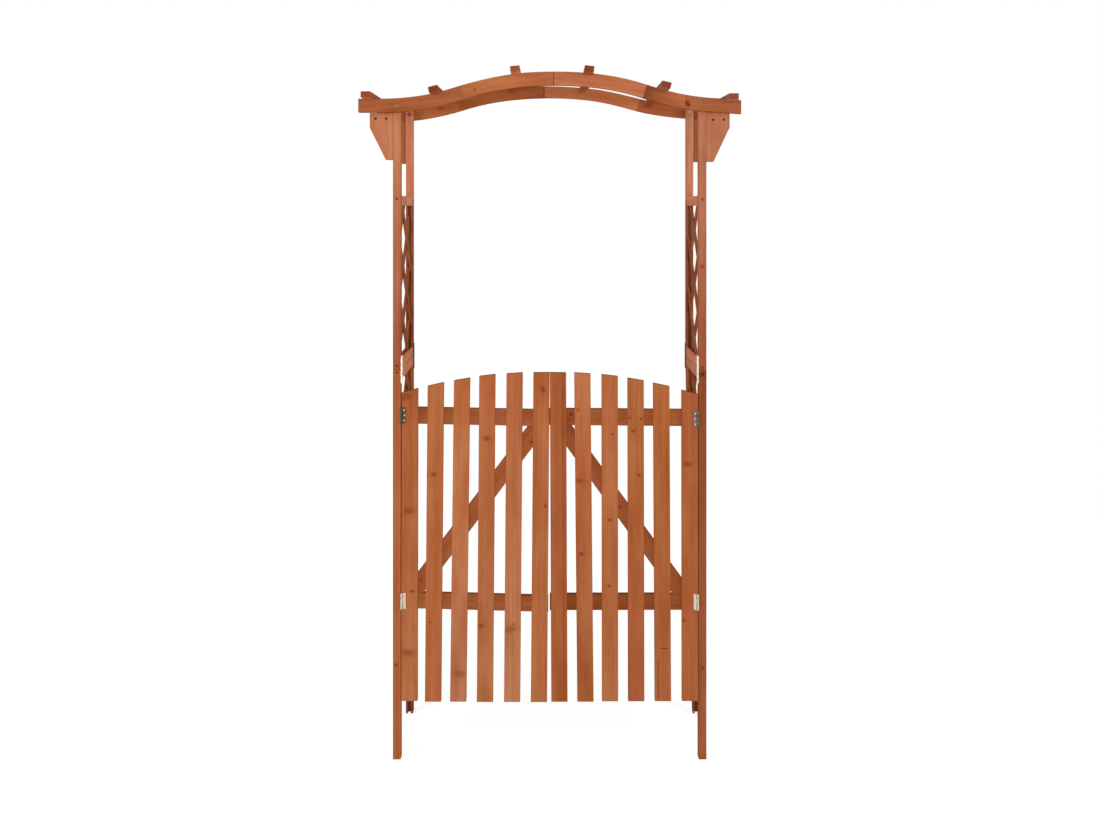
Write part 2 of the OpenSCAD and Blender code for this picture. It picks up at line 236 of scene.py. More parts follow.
def wood_finish(name):
    """Fir under an orange-brown stain. The boards carry what differs between them as attributes: grain is
    the place in the tree, stain the colour, cut marks end grain and edges, and the knots are offsets."""
    f = Finish(bpy.data.materials.new(name))
    grain, stain, cut = f.attribute("grain"), f.attribute("stain"), f.attribute("cut")
    along, across, depth = f.parts(grain)
    end_grain, edge, _ = f.parts(cut)

    # distance from the pith, with the trunk's slow wobble, a fine ripple and its taper
    wobble = f.noise(grain, (1.6, 13.0, 13.0), 2.0) - 0.5
    ripple = f.noise(grain, (9.0, 60.0, 60.0), 1.0) - 0.5
    radius = (across * across + depth * depth) ** 0.5 + wobble * 0.020 + ripple * 0.0011 + along * 0.010

    # knots: the rings bulge round a ragged dark core in a wide, faint smear. A large knot is the rounder one
    ragged = (f.noise(grain, (55.0, 95.0, 95.0), 2.0) - 0.5) * 0.95
    cores, smears = [], []
    for knot in KNOTS:
        off_along, off_across, size = f.parts(f.attribute(knot))
        slim = (0.0085 - size) * 75
        across_share, along_share = off_across * (slim + 0.56), off_along * 1.05
        across_square, along_square = across_share * across_share, along_share * along_share
        reach = (along_square + across_square) ** 0.5 / size + ragged * (size * 160)
        radius = radius + (reach * reach).exp(-0.30) * size * 1.5
        wide = (along_square * 0.8 + across_square * (slim * 1.1 + 0.12)) / (size * size)
        strength = (0.0125 - size) * 92
        rim = ((reach - 0.95) * (reach - 0.95)).exp(-16.0) * 0.08
        cores.append((1 - reach.step(0.30, 1.60)) * strength + rim)
        smears.append(wide.exp(-0.55) * 0.7)
    core = sum(cores[1:], cores[0])
    smear = sum(smears[1:], smears[0])

    # yearly rings, which darken slowly towards the late wood and end sharply
    turn = radius / RING_WIDTH
    ring = turn.math("FRACT", turn)
    year = turn.math("FLOOR", turn)
    which = f.node("ShaderNodeTexWhiteNoise", {"noise_dimensions": "1D"}, {"W": year}, "Value")
    late = ring.step(0.30, 0.92) * (1 - ring.step(0.93, 1.0)) * (which * 0.6 + 0.4)

    # how the stain took: long streaks, soft blotches and fine fibres
    streak = f.noise(grain, (1.5, 110.0, 110.0), 3.0, 0.62) - 0.5
    blotch = f.noise(grain, (5.0, 22.0, 22.0), 3.0, 0.55) - 0.5
    fibre = f.noise(grain, (28.0, 1500.0, 1500.0), 2.0, 0.7) - 0.5

    colour = stain.times(f.blend(late * 0.36, EARLY_WOOD, LATE_WOOD))
    tone = 1 + streak * 0.36 + blotch * 0.50 + fibre * 0.08
    colour = colour.times(f.same(tone, tone * tone, tone * tone * tone))
    colour = f.blend((smear * 0.55).least(0.6), colour, stain.times(SMEAR_TINT))
    colour = f.blend(core.least(0.95), colour, stain.times(KNOT_TINT))
    colour = f.blend(end_grain, colour, colour.times(END_GRAIN_TINT))
    colour = f.blend(edge * (0.5 + blotch), colour, colour.times(EDGE_TINT))

    height = late * 0.00009 + fibre * 0.00010 + streak * 0.00012 - core * 0.00012
    rough = 0.72 + streak * 0.22 + fibre * 0.16 + end_grain * 0.10
    return f.surface(Base_Color=colour, Roughness=rough, Specular_IOR_Level=0.03, Normal=f.bump(height))


def metal_finish(name, colour, dull=0.36, dirt=(0.55, 0.50, 0.44), metal=0.92, shine=0.5):
    """Plated or painted steel: faint crystals, dull patches tinted by dirt, and fine scratches."""
    f = Finish(bpy.data.materials.new(name))
    place = f.node("ShaderNodeTexCoord", output="Object")
    crystal = f.node("ShaderNodeTexVoronoi", inputs={"Vector": place, "Scale": 700.0}, output="Color")
    crystal = f.parts(crystal)[0] - 0.5
    patch = f.noise(place, (160.0, 160.0, 160.0), 3.0, 0.6)
    scratch = f.noise(place, (900.0, 900.0, 90.0), 2.0, 0.7) - 0.5
    worn = patch.step(0.50, 0.72)
    base = f.same(1 + crystal * 0.16 + scratch * 0.12).times(colour)
    base = f.blend(worn * 0.7, base, base.times(dirt))
    rough = dull + crystal * 0.10 + worn * 0.22
    height = crystal * 0.00002 + scratch * 0.00003
    return f.surface(Base_Color=base, Metallic=metal - worn * (metal * 0.27), Roughness=rough,
                     Specular_IOR_Level=shine, Normal=f.bump(height))


WOOD = wood_finish("stained_fir")
ZINC = metal_finish("zinc_plate", linear(202, 193, 176))
DULL_ZINC = metal_finish("dull_zinc", linear(104, 96, 84), 0.46)
OILED_ZINC = metal_finish("oiled_zinc", linear(78, 70, 63), 0.50)
GREY_ZINC = metal_finish("grey_zinc", linear(112, 106, 98), 0.44)
DARK_ZINC = metal_finish("dark_zinc", linear(96, 76, 60), 0.5, metal=0.6, shine=0.2)
BROWN_ZINC = metal_finish("brown_zinc", linear(116, 84, 64), 0.6, metal=0.1, shine=0.1)
BRIGHT_ZINC = metal_finish("bright_zinc", linear(246, 238, 222), 0.30, (0.80, 0.77, 0.72))
BRASS_ZINC = metal_finish("yellow_zinc", linear(138, 114, 72), 0.42)
# steel under the wood's stain, which also darkens the bolts' sockets as painted shade
STAINED_STEEL_AND_SOCKET_SHADE = metal_finish("stained_steel_and_socket_shade", linear(92, 34, 12), 0.7, (0.70, 0.62, 0.55), 0.0, 0.08)
STAINED_NUT = metal_finish("stained_nut", linear(150, 74, 44), 0.6, (0.75, 0.66, 0.60), 0.1, 0.1)
PALE_NUT = metal_finish("pale_nut", linear(206, 156, 116), 0.6, (0.85, 0.78, 0.70), 0.1, 0.1)


# ---------------------------------------------------------------- modelling by hand

def lone(piece):
    """Only this piece is selected and active, in object mode."""
    if bpy.context.object and bpy.context.object.mode != "OBJECT":
        bpy.ops.object.mode_set(mode="OBJECT")
    bpy.ops.object.select_all(action="DESELECT")
    piece.select_set(True)
    bpy.context.view_layer.objects.active = piece
    return piece


def settled(piece):
    """Its place goes into its mesh."""
    lone(piece)
    bpy.ops.object.transform_apply(location=True, rotation=True, scale=True)
    return piece


def new_box(low, high):
    """A box between two corners."""
    low, high = Vector(low), Vector(high)
    return turned_box((low + high) / 2, high - low, (0, 0, 0))


def turned_box(centre, size, turn):
    """A box of a size, turned about its centre."""
    bpy.ops.object.select_all(action="DESELECT")
    bpy.ops.mesh.primitive_cube_add(size=1, location=centre, rotation=turn, scale=size)
    return settled(bpy.context.object)


def new_cylinder(centre, radius, height, axis, sides=24):
    """A cylinder with its middle at the centre, along an axis."""
    bpy.ops.object.select_all(action="DESELECT")
    bpy.ops.mesh.primitive_cylinder_add(
        vertices=sides, radius=radius, depth=height, location=centre,
        rotation=Z.rotation_difference(Vector(axis)).to_euler())
    return settled(bpy.context.object)


def pick_parts(piece, mode, test):
    """In edit mode, only the vertices, edges or faces that pass the test are selected."""
    lone(piece)
    mesh = piece.data
    for group in (mesh.vertices, mesh.edges, mesh.polygons):
        group.foreach_set("select", [False] * len(group))
    group = {"VERT": mesh.vertices, "EDGE": mesh.edges, "FACE": mesh.polygons}[mode]
    for part in group:
        part.select = test(part)
    bpy.ops.object.mode_set(mode="EDIT")
    bpy.ops.mesh.select_mode(type=mode)
    bpy.ops.object.mode_set(mode="OBJECT")
    for part in group:
        part.select = test(part)
    bpy.ops.object.mode_set(mode="EDIT")


def pick_all(piece):
    """In edit mode, all of the piece is selected."""
    lone(piece)
    bpy.ops.object.mode_set(mode="EDIT")
    bpy.ops.mesh.select_all(action="SELECT")


def done(piece):
    """Back to object mode."""
    bpy.ops.object.mode_set(mode="OBJECT")
    return piece


def shift_points(piece, test, offset):
    """Moves the vertices that pass the test."""
    pick_parts(piece, "VERT", lambda v: test(v.co))
    bpy.ops.transform.translate(value=offset)
    return done(piece)


def shift_at(piece, offset, **place):
    """Moves the vertices that lie at a place along x, y or z."""
    def test(p):
        return all(abs(getattr(p, axis) - at) < 1e-4 for axis, at in place.items())
    return shift_points(piece, test, offset)


def scored(piece, point, normal, **settings):
    """Cuts the faces along a plane and keeps both sides."""
    pick_all(piece)
    bpy.ops.mesh.bisect(plane_co=point, plane_no=normal, **settings)
    return done(piece)


def sawn(piece, point, normal):
    """Cuts away what lies beyond a plane, on the side its normal points to."""
    return scored(piece, point, normal, use_fill=True, clear_outer=True)


def modified(piece, kind, **settings):
    """Adds a modifier and applies it."""
    lone(piece)
    bpy.ops.object.modifier_add(type=kind)
    modifier = piece.modifiers[-1]
    for key, value in settings.items():
        setattr(modifier, key, value)
    bpy.ops.object.modifier_apply(modifier=modifier.name)
    return piece


def eased(piece, width, segments=2):
    """Sanded edges."""
    return modified(piece, "BEVEL", width=width, segments=segments, limit_method="ANGLE",
                    angle_limit=math.radians(28), use_clamp_overlap=True)


def cut_with(piece, cutter):
    """Takes the cutter's shape out of the piece."""
    modified(piece, "BOOLEAN", operation="DIFFERENCE", solver="EXACT", object=cutter)
    bpy.data.objects.remove(cutter)
    return piece


def outward(piece):
    """Doubles merged and faces turned outwards."""
    pick_all(piece)
    bpy.ops.mesh.remove_doubles(threshold=0.00001)
    bpy.ops.mesh.normals_make_consistent(inside=False)
    return done(piece)


def smooth(piece, angle=32):
    """Smooth shading over edges that bend less than an angle."""
    lone(piece)
    bpy.ops.object.shade_smooth_by_angle(angle=math.radians(angle))
    return piece


def copied(piece, matrix=Matrix()):
    """A copy with its own mesh, put in its place."""
    copy = piece.copy()
    copy.data = piece.data.copy()
    bpy.context.scene.collection.objects.link(copy)
    copy.data.transform(matrix)
    if matrix.determinant() < 0:
        copy.data.flip_normals()
    return copy


def joined(pieces, name, finish, body, nodes=()):
    """One object of several pieces, riding on a body and standing for its CAD nodes."""
    lone(pieces[0])
    for piece in pieces[1:]:
        piece.select_set(True)
    if len(pieces) > 1:
        bpy.ops.object.join()
    whole = bpy.context.object
    whole.name = whole.data.name = name
    whole.data.materials.clear()
    whole.data.materials.append(finish)
    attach(whole, body)
    if nodes:
        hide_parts(*nodes)
    return whole


# ---------------------------------------------------------------- boards

# boards come from anywhere along the trunk, up to PITH_OFF off the pith across and up to PITH_DEEP in depth
TRUNK_L, PITH_OFF, PITH_DEEP = 60, 0.022, 0.07
# end grain looks along the board by at least this share, and a face narrower than this is a sanded edge
END_FACE, EDGE_FACE_W = 0.6, 0.0009


def corners(piece):
    """The lowest and the highest corner of a piece."""
    spots = [v.co for v in piece.data.vertices]
    low = Vector(min(p[i] for p in spots) for i in range(3))
    high = Vector(max(p[i] for p in spots) for i in range(3))
    return low, high


def put(mesh, name, domain, values):
    """A new attribute of three parts, with its values."""
    attribute = mesh.attributes.new(name, "FLOAT_VECTOR", domain)
    attribute.data.foreach_set("vector", [c for value in values for c in value])


def grained(piece, along, face, stain, stain_end=None, knots=()):
    """Gives a board its place in the tree. Its length runs along, and face is the normal of its broad face.
    stain is the colour at its start and stain_end at its end, and knots are (point, radius, tilt)."""
    along, face = Vector(along).normalized(), Vector(face).normalized()
    across = along.cross(face).normalized()
    mesh = piece.data
    low, high = corners(piece)
    middle = (low + high) / 2
    pith = Vector((chance.uniform(0, TRUNK_L), chance.uniform(-PITH_OFF, PITH_OFF),
                   chance.choice((-1, 1)) * chance.uniform(PITH_OFF, PITH_DEEP)))
    spots = [v.co - middle for v in mesh.vertices]
    local = [Vector((p.dot(along), p.dot(across), p.dot(face))) for p in spots]
    put(mesh, "grain", "POINT", [p + pith for p in local])
    first, last = min(p.x for p in local), max(p.x for p in local)
    start, end = Vector(linear(*stain)) - SHEEN, Vector(linear(*(stain_end or stain))) - SHEEN
    put(mesh, "stain", "POINT", [start.lerp(end, (p.x - first) / (last - first)) for p in local])
    far_off = (middle + along * 40, 0.004, 0)
    knots = list(knots) + [far_off] * (len(KNOTS) - len(knots))
    for name, (point, size, tilt) in zip(KNOTS, knots):
        away = Vector(point) - middle
        turn = Matrix.Rotation(math.radians(tilt), 3, "Z")
        offsets = [turn @ Vector((p.x - away.dot(along), p.y - away.dot(across), 0)) for p in local]
        put(mesh, name, "POINT", [(o.x, o.y, size) for o in offsets])
    marks = []
    for polygon in mesh.polygons:
        rim = sum((mesh.vertices[a].co - mesh.vertices[b].co).length for a, b in polygon.edge_keys)
        cut_across = abs(polygon.normal.dot(along)) > END_FACE
        marks.append((float(cut_across), float(2 * polygon.area / rim < EDGE_FACE_W), 0.0))
    put(mesh, "cut", "FACE", marks)
    return piece


def tinted(colour, shares):
    """A colour, each of its parts times a share."""
    return tuple(part * share for part, share in zip(colour, shares))


def restained(piece, chosen, shares):
    """The stain of some vertices becomes lighter or darker."""
    stain = piece.data.attributes["stain"].data
    for i in chosen:
        stain[i].vector = tinted(stain[i].vector, shares)


def stray_knots(piece, along, face, share=0.6, low=0.0025, high=0.005):
    """Up to two knots somewhere on a board whose own ones aren't given."""
    along, face = Vector(along).normalized(), Vector(face).normalized()
    across = along.cross(face)
    a, b = corners(piece)
    middle, size = (a + b) / 2, b - a
    length, width = (size.dot(Vector(abs(c) for c in way)) for way in (along, across))
    found = []
    for _ in range(2):
        place = middle + along * length * chance.uniform(-0.45, 0.45)
        place += across * width * chance.uniform(-0.4, 0.4)
        radius = chance.uniform(low, high)
        if chance.random() < share:
            found.append((place, radius, chance.uniform(-30, 30)))
    return found


def shaded(colour, spread=6):
    """A colour a little lighter or darker than the one given, in red most and in blue least."""
    move = chance.uniform(-spread, spread)
    return tuple(c + move * share for c, share in zip(colour, (1.0, 0.9, 0.7)))


def profile_bar(low, high, slot_low, slot_high, axis):
    """A bar with a groove along it: its section is drawn, the groove cut out of it, and the bar drawn out."""
    size = high - low
    length = size.dot(axis)
    flat = [i for i in range(3) if axis[i] == 0]
    middle = (low + high) / 2 - axis * length / 2
    bpy.ops.object.select_all(action="DESELECT")
    turn = Z.rotation_difference(axis).to_euler()
    bpy.ops.mesh.primitive_plane_add(size=1, location=middle, rotation=turn)
    piece = settled(bpy.context.object)
    for v in piece.data.vertices:
        for i in flat:
            v.co[i] = middle[i] + (size[i] / 2 if v.co[i] > middle[i] else -size[i] / 2)
    for i in flat:
        for side in (slot_low, slot_high):
            if low[i] < side[i] < high[i]:
                scored(piece, side, AXES[i])
    pick_parts(piece, "FACE", lambda p: all(slot_low[i] < p.center[i] < slot_high[i] for i in flat))
    bpy.ops.mesh.delete(type="FACE")
    pick_all(piece)
    bpy.ops.mesh.dissolve_faces()
    bpy.ops.mesh.select_all(action="SELECT")
    bpy.ops.mesh.extrude_region_move(TRANSFORM_OT_translate={"value": axis * length})
    return outward(piece)


# ---------------------------------------------------------------- posts

# stain at the foot and at the top of each half post, with painted light and shade in it: the upper halves
# lighten towards the top as painted light from above, the rear feet are darker as painted shade behind the
# gates, and the rear upper posts are lighter all along as painted light where the front posts shade them
POST_STAIN_AND_LIGHT = {
    ("front", "left", "lower"): ((167, 95, 54), (163, 93, 59)),
    ("front", "right", "lower"): ((153, 84, 50), (132, 71, 43)),
    ("front", "left", "upper"): ((148, 82, 54), (184, 116, 80)),
    ("front", "right", "upper"): ((150, 84, 55), (179, 112, 81)),
    ("rear", "left", "lower"): ((130, 74, 46), (176, 102, 63)),
    ("rear", "right", "lower"): ((128, 70, 42), (172, 100, 62)),
    ("rear", "left", "upper"): ((180, 108, 72), (214, 134, 99)),
    ("rear", "right", "upper"): ((176, 106, 72), (206, 138, 102)),
}
POST_KNOTS = {
    ("front", "left", "lower"): [((-0.453, -0.13, 0.279), 0.0042, 10)],
    ("front", "right", "lower"): [((0.452, -0.13, 0.270), 0.0036, -8), ((0.4480, -0.13, 1.1340), 0.0060, 0)],
}
JOINT_GAP = 0.0007
# the grooves, cut open past the faces they lie in, and how far back from the face the strips lie in them
GROOVE_W, GROOVE_DEPTH, GROOVE_OPEN, STRIP_BACK = 0.0104, 0.011, 0.001, 0.0007
# sanded edges of posts, brackets and pickets, and of the strips
EASE, STRIP_EASE = 0.0012, 0.0006
# painted shade: the rear upper posts are darker beside the lattice, where the front posts and the panel shade
# them, up to a short fade a little below the panel's top
PAINTED_PANEL_SHADE, PANEL_SHADE_DROP, PANEL_SHADE_FADE = (0.52, 0.48, 0.42), 0.012, 0.003


def make_post(end, side, half):
    """Half a post, with the lattice's groove in the face towards the other post of its side."""
    node = f"{end}_{side}_{half}_post"
    low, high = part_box(node)
    if half == "upper":
        low.z += JOINT_GAP
    middle_x = (low + high).x / 2
    way, inner = ENDS[end], outer_inner(node, end)[1]
    ys = sorted((inner - way * GROOVE_OPEN, inner + way * GROOVE_DEPTH))
    left, right = middle_x - GROOVE_W / 2, middle_x + GROOVE_W / 2
    post = profile_bar(low, high, (left, ys[0], low.z), (right, ys[1], high.z), Z)
    eased(post, EASE)
    # the stain's fade along the post carries its painted light and shade
    start, finish = POST_STAIN_AND_LIGHT[end, side, half]
    knots = POST_KNOTS.get((end, side, half)) or stray_knots(post, Z, Y, 0.7)
    panel_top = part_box(f"{side}_panel_top_rails")[1].z
    shade_top = panel_top - PANEL_SHADE_DROP
    if (end, half) == ("rear", "upper"):
        for height in (shade_top, shade_top + PANEL_SHADE_FADE):
            scored(post, (0, 0, height), Z)
    boards = [grained(post, Z, Y, start, finish, knots)]
    # painted shade on the rear upper posts below the panel's top
    if (end, half) == ("rear", "upper"):
        beside = [v.index for v in post.data.vertices if v.co.z < shade_top + PANEL_SHADE_FADE / 2]
        restained(post, beside, PAINTED_PANEL_SHADE)
    if half == "upper":
        # above the panel a strip closes the groove
        ys = sorted((inner + way * STRIP_BACK, inner + way * GROOVE_DEPTH))
        strip = new_box((left, ys[0], panel_top), (right, ys[1], high.z))
        boards.append(grained(eased(strip, STRIP_EASE), Z, Y, tinted(finish, [0.95] * 3)))
    joined(boards, node + "_wood", WOOD, "frame", [node])


# ---------------------------------------------------------------- side panels

# a panel's rail, its groove, half the gap between two that lie on each other, and their sanded edges
RAIL_H, RAIL_GROOVE, RAIL_GAP, RAIL_EASE = 0.031, 0.011, 0.0007, 0.0014
RAIL_STAIN = {"left": (212, 133, 97), "right": (212, 134, 98)}


def make_panel_rails(side, which):
    """The two top rails or the two bottom rails of a side, with their grooves for the lattices."""
    node = f"{side}_panel_{which}_rails"
    low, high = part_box(node)
    middle = (low + high) / 2
    rails = []
    for foot in (low.z, high.z - RAIL_H):
        a, b = Vector((low.x, low.y, foot)), Vector((high.x, high.y, foot + RAIL_H))
        if which == "top":
            groove = (foot - GROOVE_OPEN, foot + RAIL_GROOVE)
        else:
            groove = (foot + RAIL_H - RAIL_GROOVE, foot + RAIL_H + GROOVE_OPEN)
        a.z, b.z = a.z + RAIL_GAP, b.z - RAIL_GAP
        rail = profile_bar(a, b, (middle.x - GROOVE_W / 2, low.y, groove[0]),
                           (middle.x + GROOVE_W / 2, high.y, groove[1]), Y)
        eased(rail, RAIL_EASE)
        stain, knots = shaded(RAIL_STAIN[side]), stray_knots(rail, Y, X, 0.3)
        rails.append(grained(rail, Y, X, stain, knots=knots))
    joined(rails, node + "_wood", WOOD, "frame", [node])


# slats of the lattices, let into each other where they cross, and their sanded edges
SLAT_W, SLAT_T, LET_IN, SLAT_EASE = 0.0235, 0.0050, 0.0005, 0.0007
# height from slat to slat, their slope, and how far the crossings lie off the panel's middle
PITCH, SLOPE, SHIFT = 0.168, math.radians(50), 0.018
# how far the lattice's foot stands above the panel's foot
PANEL_FOOT = RAIL_H - RAIL_GROOVE + 0.0003
# height of the first crossings above the panel's foot
LATTICE_START = {("left", "lower"): 0.146, ("left", "upper"): 0.112,
                 ("right", "lower"): 0.082, ("right", "upper"): 0.091}
SLAT_STAIN = (150, 84, 50)


def crossings(way, i, numbers, start, half_y, height):
    """Where slat i of one way crosses slats of the other way inside the panel, in depth and height."""
    spots = [(SHIFT + way * (j - i) * PITCH / math.tan(SLOPE) / 2, start + (i + j) * PITCH / 2)
             for j in numbers]
    return [(y, z) for y, z in spots if abs(y) < half_y and PANEL_FOOT < z < height - PANEL_FOOT]


def make_lattice(side, half, staple):
    """Slats in two layers, cut to the panel's edges in its grooves, with a staple at each crossing."""
    node = f"{side}_{half}_lattice"
    low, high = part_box(node)
    turn = SIDES[side]
    foot, height = low.z - PANEL_FOOT, high.z - low.z + 2 * PANEL_FOOT
    half_y, start = high.y, LATTICE_START[side, half]
    plane_x = sum(outer_inner(f"front_{side}_lower_post", side)) / 2
    reach = (half_y + SHIFT) * math.tan(SLOPE)
    first = math.floor((PANEL_FOOT - reach - start) / PITCH)
    last = math.ceil((height + reach - start) / PITCH)
    numbers = range(first, last + 1)
    layer = (SLAT_T - LET_IN / 2) / 2
    slats, staples = [], []
    for way in (1, -1):
        for i in numbers:
            spots = crossings(way, i, numbers, start, half_y, height)
            if not spots:
                continue
            centre = Vector((plane_x - way * turn * layer, turn * SHIFT, foot + start + i * PITCH))
            slat = turned_box(centre, (SLAT_T + LET_IN / 2, 6 * half_y, SLAT_W), (way * turn * SLOPE, 0, 0))
            for point, normal in (((0, half_y, 0), Y), ((0, -half_y, 0), -Y), (low, -Z), (high, Z)):
                sawn(slat, point, normal)
            eased(slat, SLAT_EASE)
            along = Vector((0, math.cos(SLOPE), way * turn * math.sin(SLOPE)))
            stain, knots = shaded(SLAT_STAIN, 10), stray_knots(slat, along, X, 0.2)
            slats.append(grained(slat, along, X, stain, knots=knots))
            if way == 1:
                for y, z in spots:
                    spot = Vector((plane_x - turn * SLAT_T, turn * y, foot + z))
                    staples.append(copied(staple, Matrix.Translation(spot) @ Matrix.Scale(-turn, 4, X)))
    joined(slats, node + "_wood", WOOD, "frame", [node])
    joined(staples, node + "_staples", GREY_ZINC, "frame")


# how far the right rear leg stands out at its foot
LEG_OUT = 0.0217


def lean_right_leg(names):
    """The right rear leg stands out at its foot, and what is let into it follows, from the front leg on."""
    front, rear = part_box("front_right_lower_post"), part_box("rear_right_lower_post")
    low = Vector((rear[0].x, front[1].y, 0))
    high = Vector((rear[1].x, (rear[0].y + rear[1].y) / 2, rear[1].z))
    bpy.ops.object.select_all(action="DESELECT")
    bpy.ops.object.add(type="LATTICE", location=(low + high) / 2)
    cage = bpy.context.object
    cage.scale = high - low
    for way in "uvw":
        setattr(cage.data, "interpolation_type_" + way, "KEY_LINEAR")
    for point in cage.data.points:
        if point.co.y > 0 > point.co.z:
            point.co_deform.x += LEG_OUT / cage.scale.x
    for name in names:
        modified(bpy.data.objects[name], "LATTICE", object=cage)
    bpy.data.objects.remove(cage)


def new_staple():
    """The crown of a wire staple, a little askew on a slat."""
    half = Vector((0.0007, 0.0045, 0.0006))
    wire = eased(new_box(-half, half), 0.0004, 1)
    wire.data.transform(Matrix.Rotation(math.radians(20), 4, "X"))
    return wire


# ---------------------------------------------------------------- beams and battens

# a beam's height, the flat at its ends, the radius of its crest, from which reverse arcs lead to the flats,
# and its sanded edges
BEAM_H, BEAM_FLAT, CREST_R, BEAM_EASE = 0.040, 0.0605, 0.930, 0.0008
post_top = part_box("front_left_upper_post")[1].z
beam_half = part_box("front_right_beam")[1].x
arc_end = beam_half - BEAM_FLAT
crest_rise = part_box("front_right_beam")[1].z - post_top
both_r = (arc_end ** 2 + crest_rise ** 2) / (2 * crest_rise)
reverse_r = both_r - CREST_R
turn_angle = math.asin(arc_end / both_r)
turn_x = CREST_R * math.sin(turn_angle)
crest_z = post_top + crest_rise


def line_z(x):
    """Height of a beam's top line at a distance from the centre."""
    if abs(x) <= turn_x:
        return crest_z - CREST_R + math.sqrt(CREST_R ** 2 - x ** 2)
    if abs(x) < arc_end:
        return post_top + reverse_r - math.sqrt(reverse_r ** 2 - (arc_end - abs(x)) ** 2)
    return post_top


def nearness(x, place, reach):
    """1 at a place, with a soft fall to 0 at its reach."""
    share = max(0.0, 1 - abs(x - place) / reach)
    return share * share * (3 - 2 * share)


# how the beams stand off that line: place, height and reach of each bend
BEAM_BENDS = {"front": ((0.270, 0.0066, 0.30), (-0.270, -0.0031, 0.22), (beam_half, -0.0045, 0.07)),
              "rear": ((0.0, -0.0026, 0.18), (-0.300, 0.0034, 0.20), (0.430, 0.0078, 0.20))}


def bend(end, x):
    """How far a beam stands off its even line there."""
    return sum(height * nearness(x, place, reach) for place, height, reach in BEAM_BENDS[end])


# how far the upper edge of a beam is taken down: place, depth and reach
BEAM_TRIM = {"rear": (0.090, 0.0032, 0.28)}


def trim(end, x):
    """How far a beam's upper edge is taken down there."""
    place, depth, reach = BEAM_TRIM.get(end, (0, 0, 1))
    return depth * nearness(x, place, reach)


def line_turn(x):
    """Slope of a beam's top line there, as a turn about Y."""
    if abs(x) <= turn_x:
        return math.asin(x / CREST_R)
    if abs(x) < arc_end:
        return math.copysign(math.asin((arc_end - abs(x)) / reverse_r), x)
    return 0.0


# half the width of the stretch that is picked at a bend's place
CATCH = 0.012


def pull(beam, place, rise, reach):
    """Raises what shows of a beam at a place, and what is within reach follows softly."""
    pick_parts(beam, "VERT", lambda v: abs(v.co.x - place) < CATCH and not v.hide)
    bpy.ops.transform.translate(value=(0, 0, rise), use_proportional_edit=True,
                                proportional_edit_falloff="SMOOTH", proportional_size=reach)


def whole_beam(end):
    """A beam from end to end: its section is drawn along the flat, the arcs and the flat again."""
    low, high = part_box(f"{end}_left_beam")
    middle = Vector((-beam_half, (low.y + high.y) / 2, post_top - BEAM_H / 2))
    bpy.ops.object.select_all(action="DESELECT")
    bpy.ops.mesh.primitive_plane_add(size=1, location=middle, rotation=(0, math.pi / 2, 0))
    beam = settled(bpy.context.object)
    for v in beam.data.vertices:
        v.co.y = low.y if v.co.y < middle.y else high.y
        v.co.z = post_top - (BEAM_H if v.co.z < middle.z else 0)
    pick_all(beam)
    bpy.ops.mesh.select_mode(type="FACE")
    flat = {"value": (BEAM_FLAT, 0, 0)}
    bpy.ops.mesh.extrude_region_move(TRANSFORM_OT_translate=flat)
    arcs = (
        (turn_angle, (-arc_end, middle.y, post_top + reverse_r), 18),
        (-2 * turn_angle, (0, middle.y, crest_z - CREST_R), 48),
        (turn_angle, (arc_end, middle.y, post_top + reverse_r), 18))
    for angle, centre, steps in arcs:
        bpy.ops.mesh.spin(steps=steps, angle=angle, center=centre, axis=(0, 1, 0))
    bpy.ops.mesh.extrude_region_move(TRANSFORM_OT_translate=flat)
    for place, height, reach in BEAM_BENDS[end]:
        pull(beam, place, height, reach)
    if end in BEAM_TRIM:
        # only the upper edge moves
        place, depth, reach = BEAM_TRIM[end]
        pick_parts(beam, "VERT", lambda v: v.co.z < line_z(v.co.x) + bend(end, v.co.x) - BEAM_H / 2)
        bpy.ops.mesh.hide()
        pull(beam, place, -depth, reach)
        bpy.ops.mesh.reveal(select=False)
    return outward(beam)


# where the boards of each beam butt, and the stain of each board; the rear beam's stains are lighter, painted
# light that makes up for the front beam's shade on it
CENTRE_JOINT = 0.012
BEAM_BOARDS = {
    "front": ((-0.262, CENTRE_JOINT, 0.283, 0.398),
              ((162, 93, 58), (175, 102, 64), (181, 107, 72), (126, 67, 36), (161, 92, 59))),
    "rear": ((-0.300, -0.018, 0.292),
             ((174, 97, 58), (163, 89, 50), (190, 112, 71), (172, 94, 58))),
}
# a place past either end
BEYOND = 1.0
# half the glue's thickness in the middle joint, and its colour
GLUE_HALF, GLUE_STAIN = 0.0006, (84, 40, 20)
# knots of the front beam; the rear beam's entries are painted shadows of the battens on its face, drawn as
# dark knot smears
BEAM_KNOTS_AND_SHADOWS = {"front": [((0.4035, -0.148, 1.9300), 0.0046, 20), ((0.4010, -0.148, 1.9345), 0.0042, 90),
                        ((0.4065, -0.148, 1.9265), 0.0042, 60)],
              "rear": [((-0.1235, 0.112, 2.0040), 0.0080, 90), ((0.1027, 0.112, 2.0035), 0.0072, 90),
                       ((0.3196, 0.112, 1.9560), 0.0072, 75), ((-0.3550, 0.112, 1.9500), 0.0080, 105)]}
# boards that are lighter towards their right end, and the stain there
BEAM_FADE = {("front", 3): (176, 101, 64)}
BATTENS = {"left_end": (142, 68, 34), "left_outer": (123, 61, 30), "left_inner": (157, 84, 46),
           "right_inner": (124, 57, 29), "right_outer": (128, 66, 38), "right_end": (131, 75, 47)}
# how much lighter the battens' stain shows: all round, and once more on the undersides as painted light from
# the floor's bounce
BATTEN_LIGHT, UNDERSIDE_BOUNCE_LIGHT = (1.22, 1.42, 1.75), (1.55, 1.70, 1.85)
